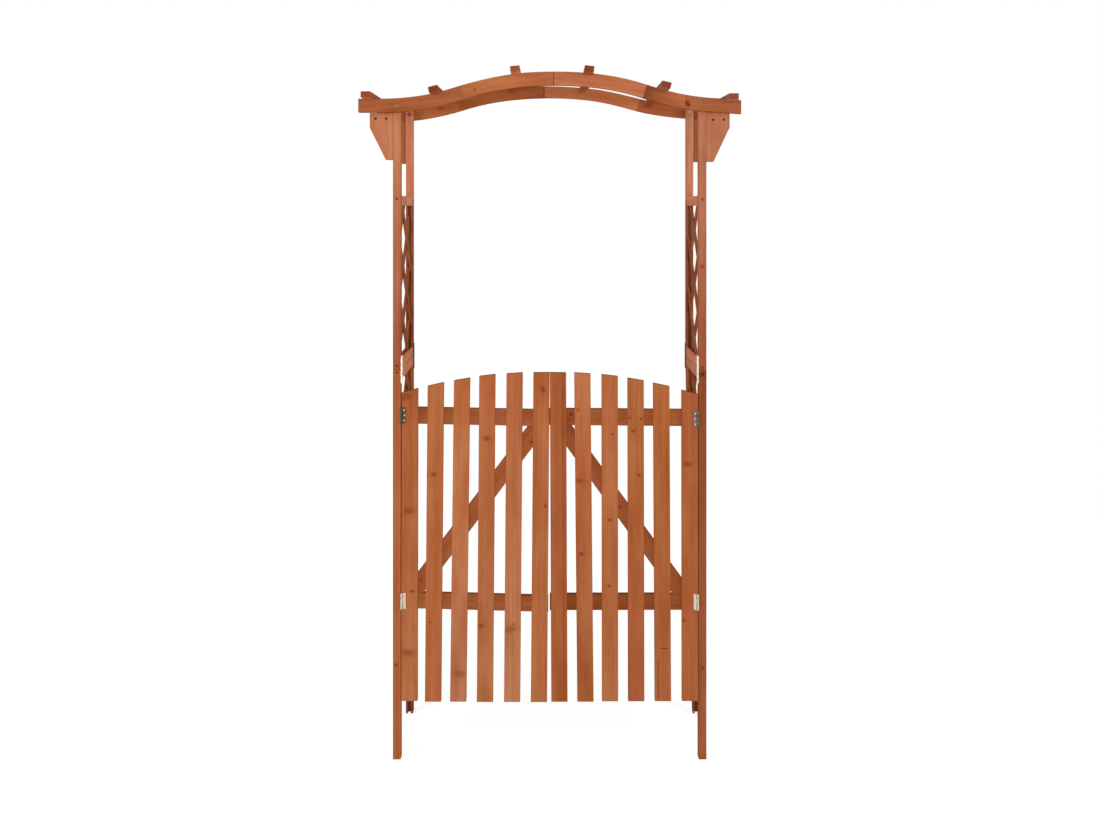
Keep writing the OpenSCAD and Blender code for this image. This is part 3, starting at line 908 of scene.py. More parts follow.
# section and sanded edges of a batten, how deep it sits in the beams, and the room beside it there
BATTEN_W, BATTEN_T, BATTEN_EASE, SEAT, FIT = 0.028, 0.018, 0.0011, 0.003, 0.0003
# how far some battens stand above their seats
BATTEN_LIFT = {"left_outer": -0.0022, "right_outer": 0.0020, "right_end": -0.0035}


def batten_place(node):
    """Middle of a batten, its turn about Y and its length."""
    low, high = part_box(node)
    middle = (low + high) / 2
    turn = line_turn(middle.x)
    turn = line_turn(middle.x - (BATTEN_T / 2 - SEAT) * math.sin(turn))
    return middle, turn, high.y - low.y


def batten_rise(name, y):
    """How far a batten stands off its height at a depth, at most up to the arch's highest point."""
    low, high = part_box(name + "_batten")
    x, share = (low.x + high.x) / 2, (y - low.y) / (high.y - low.y)
    lift = BATTEN_LIFT.get(name, 0)
    front, rear = (min(bend(end, x) - trim(end, x) + lift, cad_high[2] - high.z) for end in ENDS)
    return front * (1 - share) + rear * share


def make_battens():
    """Six battens across the beams, square to the beams' slope, each end at its own beam's height."""
    for name, stain in BATTENS.items():
        node = name + "_batten"
        middle, turn, length = batten_place(node)
        batten = turned_box(middle, (BATTEN_W, length, BATTEN_T), (0, turn, 0))
        for y in (middle.y - length / 2, middle.y + length / 2):
            shift_at(batten, (0, 0, batten_rise(name, y)), y=y)
        eased(batten, BATTEN_EASE)
        face = Vector((math.sin(turn), 0, math.cos(turn)))
        grained(batten, Y, face, tinted(stain, BATTEN_LIGHT), knots=stray_knots(batten, Y, face, 0.5))
        # painted light: the undersides are lighter, as the white floor's bounce lights them
        under = {i for p in batten.data.polygons if p.normal.dot(face) < -0.99 for i in p.vertices}
        restained(batten, under, UNDERSIDE_BOUNCE_LIGHT)
        joined([batten], node + "_wood", WOOD, "frame", [node])


def cut_square(board, x, side, inset=0.0):
    """Saws a beam off square to its line, a little inside a place, and keeps what is to the left of it,
    or to the right where side is -1."""
    turn = line_turn(x)
    tangent = Vector((math.cos(turn), 0, -math.sin(turn)))
    sawn(board, (x - side * inset, 0, line_z(x)), tangent * side)


def make_beam(end):
    """A beam's boards, butted end to end and notched for the battens, with the glue of its middle joint."""
    joints, stains = BEAM_BOARDS[end]
    whole = whole_beam(end)
    edges = [-BEYOND, *joints, BEYOND]
    centre = min(joints, key=abs)
    boards = []
    for number, (start, stop) in enumerate(zip(edges, edges[1:])):
        board = copied(whole)
        for x, sign in ((start, -1), (stop, 1)):
            if abs(x) < BEYOND:
                cut_square(board, x, sign, GLUE_HALF if x == centre else 0)
        eased(board, BEAM_EASE)
        low, high = corners(board)
        for name in BATTENS:
            middle, turn, length = batten_place(name + "_batten")
            if low.x - BATTEN_W < middle.x < high.x + BATTEN_W:
                middle.z += batten_rise(name, (low.y + high.y) / 2)
                cut_with(board, turned_box(middle, (BATTEN_W + 2 * FIT, length, BATTEN_T), (0, turn, 0)))
        a, b = max(start, -beam_half), min(stop, beam_half)
        along = Vector((b - a, 0, line_z(b) - line_z(a)))
        # on the rear beam the listed knots are the painted shadows of the battens
        knots = [k for k in BEAM_KNOTS_AND_SHADOWS[end] if a < k[0][0] < b] or stray_knots(board, along, Y, 0.25)
        grained(board, along, Y, stains[number], BEAM_FADE.get((end, number)), knots)
        boards.append((start, board))
    glue = copied(whole)
    for sign in (-1, 1):
        cut_square(glue, centre, sign, -GLUE_HALF)
    grained(glue, X, Y, GLUE_STAIN)
    bpy.data.objects.remove(whole)
    halves = {"left": [board for start, board in boards if start < centre] + [glue],
              "right": [board for start, board in boards if start >= centre]}
    for side, chosen in halves.items():
        node = f"{end}_{side}_beam"
        joined(chosen, node + "_wood", WOOD, "frame", [node])


# height of a bracket's upright outer edge, width of its foot, and how much longer one of them is
BRACKET_EDGE, BRACKET_FOOT = 0.043, 0.0215
BRACKET_LONGER = {("front", "right"): 0.0065}
BRACKET_STAIN = {"left": (185, 116, 81), "right": (176, 110, 78)}
# painted shade: the rear brackets are darker, as they stand in shade
BRACKET_SHADE = {"front": (1, 1, 1), "rear": (0.88, 0.83, 0.76)}
# the holes: distances from the inner edge, place below the top, radius, depth, and how deep the screws sit
HOLE_XS, HOLE_DROP = (0.0205, 0.0515), {"left": 0.0164, "right": 0.0206}
HOLE_R, HOLE_DEPTH, SCREW_SUNK = 0.0039, 0.006, 0.0052


def make_bracket(end, side, screw):
    """A board with five sides, screwed up into the beam through two sunk holes."""
    node = f"{end}_{side}_bracket"
    low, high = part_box(node)
    outer, inner = outer_inner(node, side)
    face_y = outer_inner(node, end)[0]
    out, way = SIDES[side], ENDS[end]
    rise = bend(end, (low.x + high.x) / 2)
    low.z, high.z = low.z + rise - BRACKET_LONGER.get((end, side), 0), high.z + rise
    board = new_box(low, high)
    scored(board, (0, 0, high.z - BRACKET_EDGE), Z)
    shift_at(board, (-out * (high.x - low.x - BRACKET_FOOT), 0, 0), x=outer, z=low.z)
    eased(board, EASE)
    turn = Matrix.Rotation(math.radians(-90 * way), 4, "X")
    screws = []
    for x in HOLE_XS:
        spot = Vector((inner + out * x, face_y, high.z - HOLE_DROP[side]))
        cut_with(board, new_cylinder(spot, HOLE_R, 2 * HOLE_DEPTH, Y, 20))
        screws.append(copied(screw, Matrix.Translation(spot - Y * way * SCREW_SUNK) @ turn))
    # the rear brackets get their painted shade here
    stain = tinted(BRACKET_STAIN[side], BRACKET_SHADE[end])
    grained(board, Z, Y * way, tinted(stain, [0.97] * 3), stain)
    joined([board], node + "_wood", WOOD, "frame", [node])
    return screws


# ---------------------------------------------------------------- gates

# number and width of a gate's pickets, the radius of their top line, and what is spare before they are cut
PICKETS, PICKET_W, TOP_R, SPARE = 6, 0.048, 1.584, 0.02
# stain at the foot and at the top of each picket, from left to right
PICKET_STAIN = [
    ((171, 102, 63), (161, 90, 51)), ((171, 97, 59), (170, 100, 60)), ((176, 112, 77), (175, 102, 61)),
    ((169, 104, 64), (170, 97, 60)), ((177, 113, 77), (167, 93, 56)), ((172, 104, 65), (163, 90, 52)),
    ((159, 87, 50), (160, 90, 53)), ((156, 87, 50), (179, 107, 69)), ((174, 107, 68), (169, 97, 59)),
    ((161, 86, 53), (165, 98, 57)), ((163, 94, 57), (165, 93, 52)), ((165, 94, 56), (159, 87, 52)),
]
# knots of each picket, from left to right: place across, height, radius, and some knots' tilt
PICKET_KNOTS = {
    0: ((-0.4145, 0.733, 0.0075), (-0.405, 0.496, 0.0045), (-0.4195, 0.315, 0.0085),
        (-0.4230, 1.0690, 0.0080, 20)),
    1: ((-0.3408, 0.840, 0.0060), (-0.3520, 0.405, 0.0028)),
    2: ((-0.268, 0.254, 0.0085),),
    3: ((-0.1850, 0.946, 0.0060), (-0.2030, 0.394, 0.0065)),
    4: ((-0.1150, 0.384, 0.0085), (-0.108, 0.399, 0.0026)),
    5: ((-0.0197, 1.090, 0.0062, -70), (-0.0126, 0.747, 0.0042, -50)),
    6: (),
    7: ((0.0834, 1.031, 0.0036), (0.088, 0.821, 0.0070), (0.0931, 0.606, 0.0050)),
    8: ((0.1856, 0.958, 0.0026), (0.1771, 0.706, 0.0042), (0.1753, 0.512, 0.0046)),
    9: ((0.2350, 1.006, 0.0032), (0.2693, 1.004, 0.0036), (0.2463, 0.968, 0.0044), (0.2632, 0.8385, 0.0040)),
    10: (),
    11: ((0.4051, 0.870, 0.0062), (0.3940, 0.410, 0.0034)),
}
# cracks: number of the picket, place across, half the width, foot and top, and their depth
CRACKS = ((10, 0.3195, 0.0009, 0.178, 0.297), (10, 0.3370, 0.0120, 0.3263, 0.3277))
CRACK_DEPTH = 0.004
# a picket glued of two strips: its number, the place of the joint and the stain of the right strip
GLUED = {6: (0.0392, ((158, 85, 47), (152, 82, 46)))}
# how far each picket stands off its even spacing at two heights, from left to right
LEAN_HEIGHTS = (0.205, 0.971)
PICKET_OFFSETS = [
    (-0.0034, -0.0022), (-0.0101, -0.0034), (-0.0121, -0.0029),
    (-0.0098, -0.0041), (-0.0061, -0.0001), (-0.0034, 0.0027),
    (0.0005, -0.0028), (0.0008, -0.0065), (-0.0028, -0.0037),
    (-0.0020, -0.0035), (0.0002, -0.0039), (0.0038, 0.0030),
]
# how far the foot and the top of each picket stand below their even line, from left to right
PICKET_DROPS = [
    (0.0, 0.0003), (0.0021, 0.0002), (0.0021, 0.0003),
    (0.0030, -0.0008), (0.0030, 0.0003), (0.0032, 0.0017),
    (0.0023, 0.0018), (0.0021, 0.0008), (0.0009, 0.0003),
    (0.0008, 0.0014), (0.0002, 0.0032), (0.0002, 0.0050),
]
# how far the right leaf's rails reach past its pickets into the gap between the leaves
RAIL_OVERRUN = {"top": 0.0050, "bottom": 0.0038}
# how far each rail stands off its height at its left and right end, and each brace's foot off its place
RAIL_RISE = {("left", "top"): (0.0018, -0.0068), ("left", "bottom"): (0.0024, -0.0092),
             ("right", "top"): (-0.0026, -0.0062), ("right", "bottom"): (-0.0038, -0.0029)}
BRACE_FOOT_SHIFT = {"left": 0.0, "right": -0.0092}
# how much lower the upper edge of a rail is
RAIL_TRIM = {"top": 0.0, "bottom": 0.0021}
GATE_RAIL_STAIN = {
    ("left", "top"): ((158, 92, 55), (174, 99, 63)),
    ("left", "bottom"): ((179, 111, 66), (163, 90, 54)),
    ("right", "top"): ((155, 84, 44), (170, 96, 59)),
    ("right", "bottom"): ((143, 75, 33), (153, 84, 51)),
}
BRACE_STAIN = {"left": (168, 93, 55), "right": (158, 86, 50)}
BRACE_KNOTS = {"left": [((-0.055, 0, 0.933), 0.0036, 0), ((-0.382, 0, 0.525), 0.0032, 0)],
               "right": [((0.21, 0, 0.74), 0.003, 0)]}
BRACE_W = 0.048


def picket_step(side):
    """Distance from one picket to the next."""
    low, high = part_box(f"{side}_gate_pickets")
    return (high.x - low.x - PICKET_W) / (PICKETS - 1)


def picket_strips(picket, number, along):
    """The boards of a picket, each with its stain: itself, or two strips where it is glued."""
    if number not in GLUED:
        return [(picket, PICKET_STAIN[number])]
    x, strip_stain = GLUED[number]
    joint = (x, 0, sum(LEAN_HEIGHTS) / 2)
    strip = sawn(copied(picket), joint, along.cross(Y))
    sawn(picket, joint, Y.cross(along))
    return [(picket, PICKET_STAIN[number]), (strip, strip_stain)]


def make_pickets(side):
    """A gate's pickets, each a little off its place, their tops cut to one curve."""
    node = f"{side}_gate_pickets"
    low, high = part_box(node)
    step = picket_step(side)
    first = new_box((low.x, low.y, low.z - SPARE), (low.x + PICKET_W, high.y, high.z + SPARE))
    centre = Vector((low.x + PICKET_W / 2, 0, sum(LEAN_HEIGHTS) / 2))
    pickets = []

    def arc(x):
        return high.z - TOP_R + math.sqrt(TOP_R ** 2 - x ** 2)

    for i in range(PICKETS):
        number = i + (PICKETS if side == "right" else 0)
        foot_off, top_off = PICKET_OFFSETS[number]
        lean = math.atan((top_off - foot_off) / (LEAN_HEIGHTS[1] - LEAN_HEIGHTS[0]))
        move = Vector((i * step + (foot_off + top_off) / 2, 0, 0))
        picket = copied(first, Matrix.Translation(centre + move) @ Matrix.Rotation(lean, 4, "Y")
                        @ Matrix.Translation(-centre))
        left = low.x + move.x + math.tan(lean) * (arc(low.x + move.x) - centre.z)
        right = left + PICKET_W
        slope = Vector((right - left, 0, arc(right) - arc(left)))
        foot_drop, top_drop = PICKET_DROPS[number]
        sawn(picket, (left, low.y, arc(left) - top_drop), slope.cross(Y))
        sawn(picket, low - Z * foot_drop, -Z)
        for owner, x, half, foot, top in CRACKS:
            if owner == number:
                crack = new_box((x - half, low.y - 0.001, foot), (x + half, low.y + CRACK_DEPTH, top))
                cut_with(picket, crack)
        knots = [((x, low.y, z), radius, *(tilt or [chance.uniform(-14, 14)]))
                 for x, z, radius, *tilt in PICKET_KNOTS[number]]
        along = Vector((math.sin(lean), 0, math.cos(lean)))
        for board, stain in picket_strips(picket, number, along):
            pickets.append(grained(eased(board, EASE), along, -Y, *stain, knots))
    bpy.data.objects.remove(first)
    joined(pickets, node + "_wood", WOOD, f"{side}_gate", [node])


def rail_rise(side, which, x):
    """How far a rail stands off its height there."""
    low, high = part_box(f"{side}_gate_{which}_rail")
    start, end = RAIL_RISE[side, which]
    return start + (end - start) * (x - low.x) / (high.x - low.x)


def make_gate_rail(side, which):
    """A rail behind a gate's pickets, sloping a little."""
    node = f"{side}_gate_{which}_rail"
    low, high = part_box(node)
    if side == "right":
        low.x -= RAIL_OVERRUN[which]
    rail = new_box(low, high)
    for x in (low.x, high.x):
        shift_at(rail, (0, 0, rail_rise(side, which, x)), x=x)
    middle_z = (low.z + high.z) / 2
    shift_points(rail, lambda p: p.z > middle_z, (0, 0, -RAIL_TRIM[which]))
    eased(rail, RAIL_EASE)
    start, end = GATE_RAIL_STAIN[side, which]
    grained(rail, X, -Y, start, end, stray_knots(rail, X, Y, 0.8))
    joined([rail], node + "_wood", WOOD, f"{side}_gate", [node])


def make_brace(side):
    """A board from the foot of the hinge side to the top of the free side, its ends cut level."""
    node = f"{side}_gate_brace"
    low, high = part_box(node)
    leaf, rise = high.x - low.x, high.z - low.z
    hinge, free = outer_inner(node, side)
    way = SIDES[side]
    # how far the board's edges run across over its height, so that it is BRACE_W wide
    taken = BRACE_W * math.sqrt(leaf ** 2 + rise ** 2 - BRACE_W ** 2)
    run = rise * (leaf * rise - taken) / (rise ** 2 - BRACE_W ** 2)
    brace = new_box(low, high)
    shift_at(brace, (-way * run, 0, 0), x=hinge, z=high.z)
    shift_at(brace, (way * run, 0, 0), x=free, z=low.z)
    for x in (free, hinge - way * run):
        shift_at(brace, (0, 0, rail_rise(side, "top", x)), x=x, z=high.z)
    for x in (hinge, free + way * run):
        move = (BRACE_FOOT_SHIFT[side], 0, rail_rise(side, "bottom", x) - RAIL_TRIM["bottom"])
        shift_at(brace, move, x=x, z=low.z)
    eased(brace, RAIL_EASE)
    grained(brace, (way * run, 0, -rise), -Y, BRACE_STAIN[side], knots=BRACE_KNOTS[side])
    joined([brace], node + "_wood", WOOD, f"{side}_gate", [node])


# ---------------------------------------------------------------- hardware

def new_screw(radius=0.0027, height=0.0009):
    """The head of a countersunk screw, facing up, with its cross recess."""
    head = new_cylinder((0, 0, 0), radius, 2 * height, Z, 16)
    eased(head, height * 0.45)
    long, narrow = radius * 1.25, radius * 0.26
    for wide, deep in ((long, narrow), (narrow, long)):
        cut_with(head, new_box((-wide / 2, -deep / 2, height * 0.1), (wide / 2, deep / 2, height * 2)))
    return smooth(head, 35)


def facing(direction):
    """A turn that puts what faces up to face along a direction, with some turn about it."""
    spin = Matrix.Rotation(chance.uniform(0, math.pi), 4, "Z")
    return Z.rotation_difference(Vector(direction)).to_matrix().to_4x4() @ spin


def screw_at(screw, point, direction):
    """A copy of a screw at a point, its head facing along a direction."""
    return copied(screw, Matrix.Translation(point) @ facing(direction))


# half the length and the width of a joint plate, its thickness and its eased edges
PLATE_HALF_L, PLATE_HALF_W, PLATE_T, PLATE_EASE = 0.040, 0.010, 0.002, 0.0004
# heights of a plate's holes from the joint, their radius and depth, and how deep the screws sit
PLATE_HOLES = (-0.030, -0.012, 0.012, 0.030)
PLATE_HOLE_R, PLATE_HOLE_DEPTH, PLATE_SCREW_SUNK = 0.0031, 0.0008, 0.0006


def make_joint_plates(screw):
    """A plate on both sides of each post's joint, with four screws in each."""
    plates, screws = {"front": [], "rear": []}, []
    joint_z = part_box("front_left_lower_post")[1].z
    for end in ENDS:
        for side in SIDES:
            low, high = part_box(f"{end}_{side}_lower_post")
            y = (low.y + high.y) / 2
            for face, out in ((low.x, -1), (high.x, 1)):
                xs = sorted((face, face + out * PLATE_T))
                plate = new_box((xs[0], y - PLATE_HALF_W, joint_z - PLATE_HALF_L),
                                (xs[1], y + PLATE_HALF_W, joint_z + PLATE_HALF_L))
                modified(plate, "BEVEL", width=PLATE_EASE, segments=1, limit_method="ANGLE")
                for z in PLATE_HOLES:
                    spot = Vector((face + out * PLATE_T, y, joint_z + z))
                    cut_with(plate, new_cylinder(spot, PLATE_HOLE_R, 2 * PLATE_HOLE_DEPTH, X, 20))
                    screws.append(screw_at(screw, spot - X * out * PLATE_SCREW_SUNK, X * out))
                plates[end].append(plate)
    joined(plates["front"], "joint_plates_metal", BRIGHT_ZINC, "frame", ["joint_plates"])
    joined(plates["rear"], "rear_joint_plates_metal", BROWN_ZINC, "frame")
    joined(screws, "joint_plate_screws", GREY_ZINC, "frame")


# how much higher one of the bolts sits
BOLT_RISE = {("front", "right"): 0.0020}
# a bolt's head and its sloping rim, the socket in it, and the dark disc at the socket's foot, painted shade
# that darkens the socket
HEAD_R, HEAD_T, RIM_W, RIM_DROP, HEAD_EASE = 0.0065, 0.003, 0.0016, 0.0011, 0.00025
SOCKET_R, SOCKET_DEPTH = 0.0032, 0.0021
SHADE_DISC_R, SHADE_DISC_T, SHADE_DISC_OUT = 0.0034, 0.0006, 0.0012
# its shaft, how much longer it is than beam and post are deep, and how far it lies towards the nut for that
SHAFT_R, SHAFT_OUT, SHAFT_MOVE, END_EASE = 0.003, 0.0043, 0.0022, 0.0006
# its nut, rounded at the corners, and the nut's bore
NUT_R, NUT_ROUND_R, NUT_T, NUT_BORE_R = 0.0065, 0.0063, 0.005, 0.0031


def bolt_head(x, face, z, way):
    """A flat head with a sloping rim and a hex socket, on the beam's face."""
    head = new_cylinder((x, face + way * HEAD_T / 2, z), HEAD_R, HEAD_T, Y, 40)
    pick_parts(head, "FACE", lambda p: p.normal.y * way > 0.9)
    bpy.ops.mesh.inset(thickness=RIM_W)
    done(head)

    def on_rim(p):
        return math.hypot(p.x - x, p.z - z) > HEAD_R - RIM_W / 2 and (p.y - face) * way > HEAD_T / 2

    shift_points(head, on_rim, (0, -way * RIM_DROP, 0))
    cut_with(head, new_cylinder((x, face + way * HEAD_T, z), SOCKET_R, 2 * SOCKET_DEPTH, Y, 6))
    return smooth(eased(head, HEAD_EASE))


def bolt_nut(x, back, z, way):
    """A hexagonal nut with rounded corners, on the post's inner face."""
    centre = (x, back - way * NUT_T / 2, z)
    nut = new_cylinder(centre, NUT_R, NUT_T, Y, 6)
    rounding = eased(new_cylinder(centre, NUT_ROUND_R, NUT_T, Y, 48), END_EASE)
    modified(nut, "BOOLEAN", operation="INTERSECT", solver="EXACT", object=rounding)
    bpy.data.objects.remove(rounding)
    cut_with(nut, new_cylinder(centre, NUT_BORE_R, 4 * NUT_T, Y, 24))
    return smooth(nut, 25)


def make_bolts():
    """Furniture bolts through beams and posts, with a nut on each."""
    heads, dark, stained_ends, pale_ends = [], [], [], []
    for end, way in ENDS.items():
        face = outer_inner(f"{end}_left_beam", end)[0]
        back = outer_inner(f"{end}_left_upper_post", end)[1]
        for side in SIDES:
            x = sum(outer_inner(f"{end}_{side}_upper_post", side)) / 2
            z = post_top - BEAM_H / 2 + bend(end, x) + BOLT_RISE.get((end, side), 0)
            heads.append(bolt_head(x, face, z, way))
            # painted shade: a dark disc at the foot of the socket
            dark.append(new_cylinder((x, face + way * SHADE_DISC_OUT, z), SHADE_DISC_R, SHADE_DISC_T, Y))
            middle, length = (face + back) / 2 - way * SHAFT_MOVE, abs(face - back) + SHAFT_OUT
            shaft = new_cylinder((x, middle, z), SHAFT_R, length, Y)
            ends = {("rear", "left"): stained_ends, ("rear", "right"): pale_ends}.get((end, side), heads)
            ends.append(smooth(eased(shaft, END_EASE)))
            ends.append(bolt_nut(x, back, z, way))
    joined(heads, "beam_bolts_metal", BRASS_ZINC, "frame", ["beam_bolts"])
    joined(stained_ends, "stained_bolt_end", STAINED_NUT, "frame")
    joined(pale_ends, "pale_bolt_end", PALE_NUT, "frame")
    joined(dark, "bolt_sockets", STAINED_STEEL_AND_SOCKET_SHADE, "frame")


# the hinges: knuckles and pin, the leaves' thickness, height, widths and rounded corners
BARREL_R, PIN_R, KNUCKLE_GAP, BARREL_EASE = 0.003, 0.0015, 0.0003, 0.0003
LEAF_T, HINGE_H, LEAF_W, POST_LEAF_W, LEAF_CORNER = 0.0012, 0.047, 0.0105, 0.017, 0.0016
KNUCKLE_L = (HINGE_H - 2 * KNUCKLE_GAP) / 3
# a leaf's holes, as places off its middle and heights, their radius, and how deep they and the screws sit
LEAF_HOLES, LEAF_HOLE_R, LEAF_HOLE_DEPTH = ((0.001, -0.0155), (-0.001, 0.0), (0.001, 0.0155)), 0.0026, 0.0005
# the webs that lead to the knuckles lie a little inside a leaf's faces and reach on behind it
WEB_IN, WEB_REACH = 0.0001, 0.002
# plate and screws of each hinge, and how far some sit below their even height
HINGE_FINISH = {("left", "top"): (OILED_ZINC, ZINC), ("left", "bottom"): (ZINC, DARK_ZINC),
                ("right", "top"): (DULL_ZINC, ZINC), ("right", "bottom"): (ZINC, DARK_ZINC)}
HINGE_DROP = {("right", "top"): 0.0110, ("right", "bottom"): 0.0030}


def hinge_leaf(low, high, normal_axis, holes):
    """A hinge leaf with its corners rounded and its holes countersunk."""
    leaf = new_box(low, high)

    def through(edge):
        a, b = (leaf.data.vertices[i].co for i in edge.vertices)
        return abs((a - b).normalized()[normal_axis]) > 0.9

    pick_parts(leaf, "EDGE", through)
    bpy.ops.mesh.bevel(offset=LEAF_CORNER, segments=4, affect="EDGES")
    done(leaf)
    for spot in holes:
        cut_with(leaf, new_cylinder(spot, LEAF_HOLE_R, 2 * LEAF_HOLE_DEPTH, AXES[normal_axis], 20))
    return leaf


def barrel(centre, radius, length, sides=32):
    """A knuckle or the pin of a hinge."""
    return smooth(eased(new_cylinder(centre, radius, length, Z, sides), BARREL_EASE))


def gate_half(side, pin_at, screw):
    """The leaf on the outer picket, with the middle knuckle: its parts and its screws."""
    out, z = SIDES[side], pin_at.z
    pickets = f"{side}_gate_pickets"
    face_y, leaf_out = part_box(pickets)[0].y, outer_inner(pickets, side)[0]
    edge = pin_at.x - out * (BARREL_R + KNUCKLE_GAP)
    xs = sorted((edge, leaf_out - out * LEAF_W))
    holes = [Vector(((xs[0] + xs[1]) / 2 + out * off, face_y - LEAF_T, z + up)) for off, up in LEAF_HOLES]
    leaf = hinge_leaf((xs[0], face_y - LEAF_T, z - HINGE_H / 2), (xs[1], face_y, z + HINGE_H / 2), 1, holes)
    xs = sorted((pin_at.x, edge - out * WEB_REACH))
    web = new_box((xs[0], face_y - LEAF_T + WEB_IN, z - KNUCKLE_L / 2),
                  (xs[1], face_y - WEB_IN, z + KNUCKLE_L / 2))
    middle = barrel(pin_at, BARREL_R, KNUCKLE_L)
    return [leaf, web, middle], [screw_at(screw, spot + Y * LEAF_HOLE_DEPTH, -Y) for spot in holes]


def post_half(side, pin_at, screw):
    """The leaf on the post, with the outer knuckles and the pin: its parts and its screws."""
    out, z = SIDES[side], pin_at.z
    face_y, post_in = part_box(f"{side}_gate_pickets")[0].y, outer_inner(f"front_{side}_lower_post", side)[1]
    xs = sorted((post_in, post_in - out * LEAF_T))
    ys = face_y + KNUCKLE_GAP, pin_at.y + POST_LEAF_W
    holes = [Vector((post_in - out * LEAF_T, (ys[0] + ys[1]) / 2 + off, z + up)) for off, up in LEAF_HOLES]
    parts = [hinge_leaf((xs[0], ys[0], z - HINGE_H / 2), (xs[1], ys[1], z + HINGE_H / 2), 0, holes)]
    screws = [screw_at(screw, spot + X * out * LEAF_HOLE_DEPTH, -X * out) for spot in holes]
    for way in (-1, 1):
        centre = pin_at + Z * way * (HINGE_H - KNUCKLE_L) / 2
        parts.append(barrel(centre, BARREL_R, KNUCKLE_L))
        parts.append(new_box((xs[0] + WEB_IN, pin_at.y, centre.z - KNUCKLE_L / 2),
                             (xs[1] - WEB_IN, face_y + WEB_REACH, centre.z + KNUCKLE_L / 2)))
    parts.append(barrel(pin_at, PIN_R, HINGE_H, 24))
    return parts, screws


def make_hinges(side, screw):
    """Two butt hinges between a gate's outer picket and its post, each with its own finishes."""
    joint = next(j for j in frame["joints"] if j["child"] == f"{side}_gate")
    pin = Vector(joint["pos_m"])
    low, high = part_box(f"{side}_post_hinges")
    post_screws = []
    for which, z in (("bottom", low.z + HINGE_H / 2), ("top", high.z - HINGE_H / 2)):
        pin_at = Vector((pin.x, pin.y, z - HINGE_DROP.get((side, which), 0)))
        plate, heads = HINGE_FINISH[side, which]
        parts, screws = gate_half(side, pin_at, screw)
        replaced = [f"{side}_gate_hinges"] if which == "bottom" else []
        joined(parts, f"{side}_gate_{which}_hinge_metal", plate, f"{side}_gate", replaced)
        joined(screws, f"{side}_gate_{which}_hinge_screws", heads, f"{side}_gate")
        parts, screws = post_half(side, pin_at, screw)
        replaced = [f"{side}_post_hinges"] if which == "bottom" else []
        joined(parts, f"{side}_post_{which}_hinge_metal", plate, "frame", replaced)
        post_screws += screws
    joined(post_screws, f"{side}_post_hinge_screws", GREY_ZINC, "frame")


# heights of the screws that hold the panels' rails to each post, how deep and how far off the middle they sit
RAIL_SCREWS = {"left": (1.1405, 1.1605, 1.652), "right": (1.136, 1.155, 1.650)}
RAIL_SCREW_SUNK, RAIL_SCREW_OFF = 0.0004, 0.0012
# places of a picket's two screws at each rail, off the middle of where they cross, and how deep they sit
PICKET_SCREWS, PICKET_SCREW_SUNK = ((-0.009, 0.011), (0.009, -0.011)), 0.0003


def make_post_screws(screw):
    """Screws through the posts into the ends of the panels' rails, sunk a little."""
    screws = []
    for end, way in ENDS.items():
        for side in SIDES:
            post = f"{end}_{side}_lower_post"
            for z in RAIL_SCREWS[side]:
                x = sum(outer_inner(post, side)) / 2 + chance.uniform(-RAIL_SCREW_OFF, RAIL_SCREW_OFF)
                spot = Vector((x, outer_inner(post, end)[0] - way * RAIL_SCREW_SUNK, z))
                screws.append(screw_at(screw, spot, Y * way))
    joined(screws, "post_screws", STAINED_STEEL_AND_SOCKET_SHADE, "frame")


def make_gate_screws(side, screw):
    """Screws through the rails into each picket, from the back."""
    first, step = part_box(f"{side}_gate_pickets")[0].x, picket_step(side)
    screws = []
    for which in ("top", "bottom"):
        a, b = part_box(f"{side}_gate_{which}_rail")
        for i in range(PICKETS):
            x = first + i * step + PICKET_W / 2
            for dx, dz in PICKET_SCREWS:
                z = (a.z + b.z) / 2 + dz + rail_rise(side, which, x)
                screws.append(screw_at(screw, Vector((x + dx, b.y - PICKET_SCREW_SUNK, z)), Y))
    joined(screws, f"{side}_gate_screws", STAINED_STEEL_AND_SOCKET_SHADE, f"{side}_gate")


# ---------------------------------------------------------------- the arch, piece by piece

make_camera()
for end in ENDS:
    for side in SIDES:
        for half in ("lower", "upper"):
            make_post(end, side, half)
for side in SIDES:
    make_panel_rails(side, "top")
    make_panel_rails(side, "bottom")
staple = new_staple()
for side in SIDES:
    for half in ("lower", "upper"):
        make_lattice(side, half, staple)
lean_right_leg([
    "rear_right_lower_post_wood", "right_panel_bottom_rails_wood", "right_panel_top_rails_wood",
    "right_lower_lattice_wood", "right_lower_lattice_staples"])
make_battens()
for end in ENDS:
    make_beam(end)

screw, small_screw, large_screw = new_screw(), new_screw(0.0023, 0.0007), new_screw(0.0034, 0.0011)
bracket_screws = []
for end in ENDS:
    for side in SIDES:
        bracket_screws += make_bracket(end, side, screw)
joined(bracket_screws, "bracket_screws", STAINED_STEEL_AND_SOCKET_SHADE, "frame")
for side in SIDES:
    make_pickets(side)
    make_gate_rail(side, "top")
    make_gate_rail(side, "bottom")
    make_brace(side)
    make_hinges(side, small_screw)
    make_gate_screws(side, screw)
make_joint_plates(screw)
make_bolts()
make_post_screws(large_screw)
for spare in (staple, screw, small_screw, large_screw):
    bpy.data.objects.remove(spare)


# ---------------------------------------------------------------- stage and light

def shown_rays(f):
    """1 for the rays that show a surface: the camera's, and those in a gloss or through glass."""
    camera, gloss, glass = (f.node("ShaderNodeLightPath", output=f"Is {kind} Ray")
                            for kind in ("Camera", "Glossy", "Transmission"))
    return (camera + gloss + glass).least(1.0)


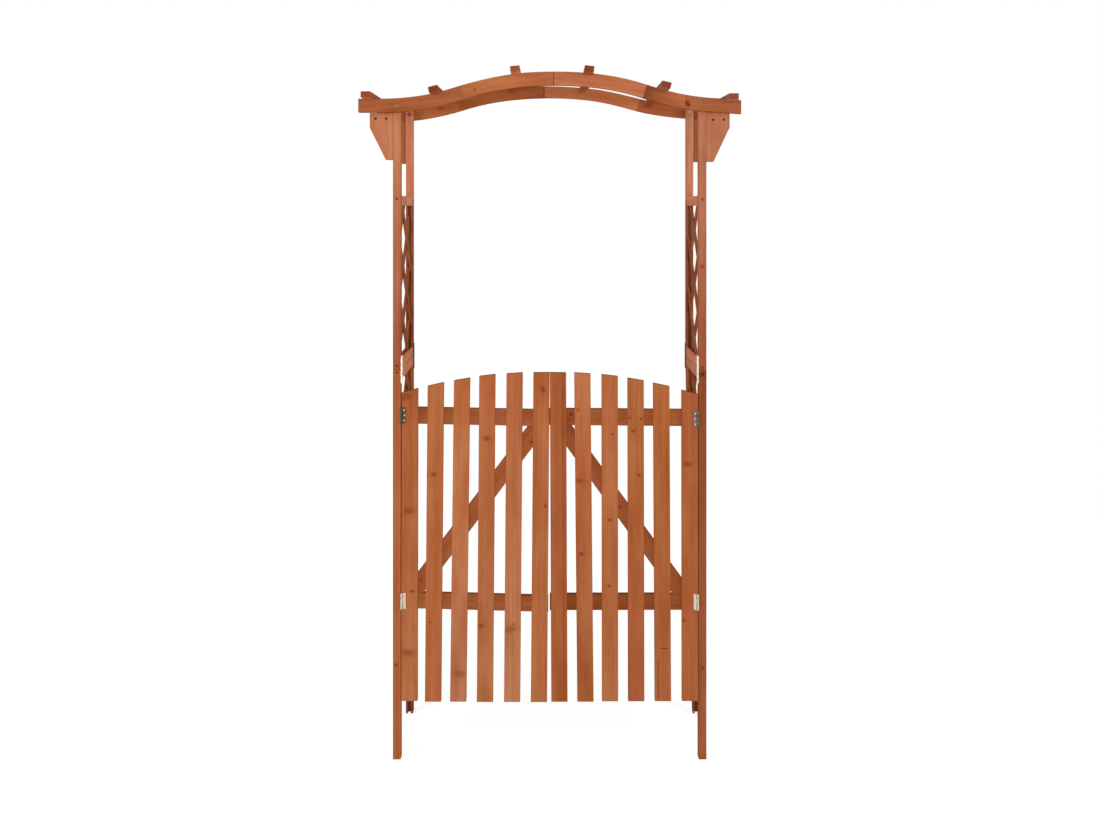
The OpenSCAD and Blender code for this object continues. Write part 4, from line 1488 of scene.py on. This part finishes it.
def make_stage():
    """A plain pale floor that keeps the shadow near the arch and runs into the white of the background."""
    bpy.ops.object.select_all(action="DESELECT")
    bpy.ops.mesh.primitive_plane_add(size=80)
    floor = bpy.context.object
    floor.name = "floor"
    f = Finish(bpy.data.materials.new("pale_floor"))
    # the shown rays see a pale glow with shadows near the arch, and plain white farther off
    place = f.node("ShaderNodeTexCoord", output="Object")
    away = f.node("ShaderNodeVectorMath", {"operation": "LENGTH"}, {0: place}, "Value")
    plain = f.node("ShaderNodeBsdfDiffuse", inputs={"Color": (0.70, 0.70, 0.70, 1)})
    shadowed = f.node("ShaderNodeBsdfDiffuse", inputs={"Color": (0.42, 0.42, 0.42, 1)})
    glow = f.node("ShaderNodeEmission", inputs={"Strength": 0.78})
    white = f.node("ShaderNodeEmission", inputs={"Strength": 1.0})
    near = f.node("ShaderNodeAddShader", inputs={0: shadowed, 1: glow})
    seen = f.node("ShaderNodeMixShader", inputs={0: away.step(1.2, 4.0), 1: near, 2: white})
    f.shown(f.node("ShaderNodeMixShader", inputs={0: shown_rays(f), 1: plain, 2: seen}))
    floor.data.materials.append(f.owner)


# light from all round, as a share of the white that the shown rays see
WORLD_LEVEL = 0.44
# name, place, size and power of each lamp, and where they all point
LAMPS = (("front_lamp", (-0.15, -6.0, 1.6), (3.2, 2.4), 110),
         ("side_lamp", (-4.1, -2.7, 2.2), (1.6, 2.4), 75), ("side_lamp", (4.1, -2.7, 2.2), (1.6, 2.4), 75))
LAMP_AIM = Vector((0, 0, 1.1))


def make_light():
    """White all round, a wide soft lamp in front and two tall ones at the sides."""
    world = bpy.data.worlds.new("studio")
    bpy.context.scene.world = world
    f = Finish(world, "ShaderNodeOutputWorld")
    level = shown_rays(f) * (1.0 - WORLD_LEVEL) + WORLD_LEVEL
    f.shown(f.node("ShaderNodeBackground", inputs={"Color": (1, 1, 1, 1), "Strength": level}))
    for name, place, size, watts in LAMPS:
        data = bpy.data.lights.new(name, "AREA")
        data.shape = "RECTANGLE"
        data.size, data.size_y = size
        data.energy = watts
        lamp = bpy.data.objects.new(name, data)
        lamp.location = place
        lamp.rotation_euler = (LAMP_AIM - lamp.location).to_track_quat("-Z", "Y").to_euler()
        bpy.context.scene.collection.objects.link(lamp)


make_stage()
make_light()
bpy.context.scene.view_settings.view_transform = "Standard"
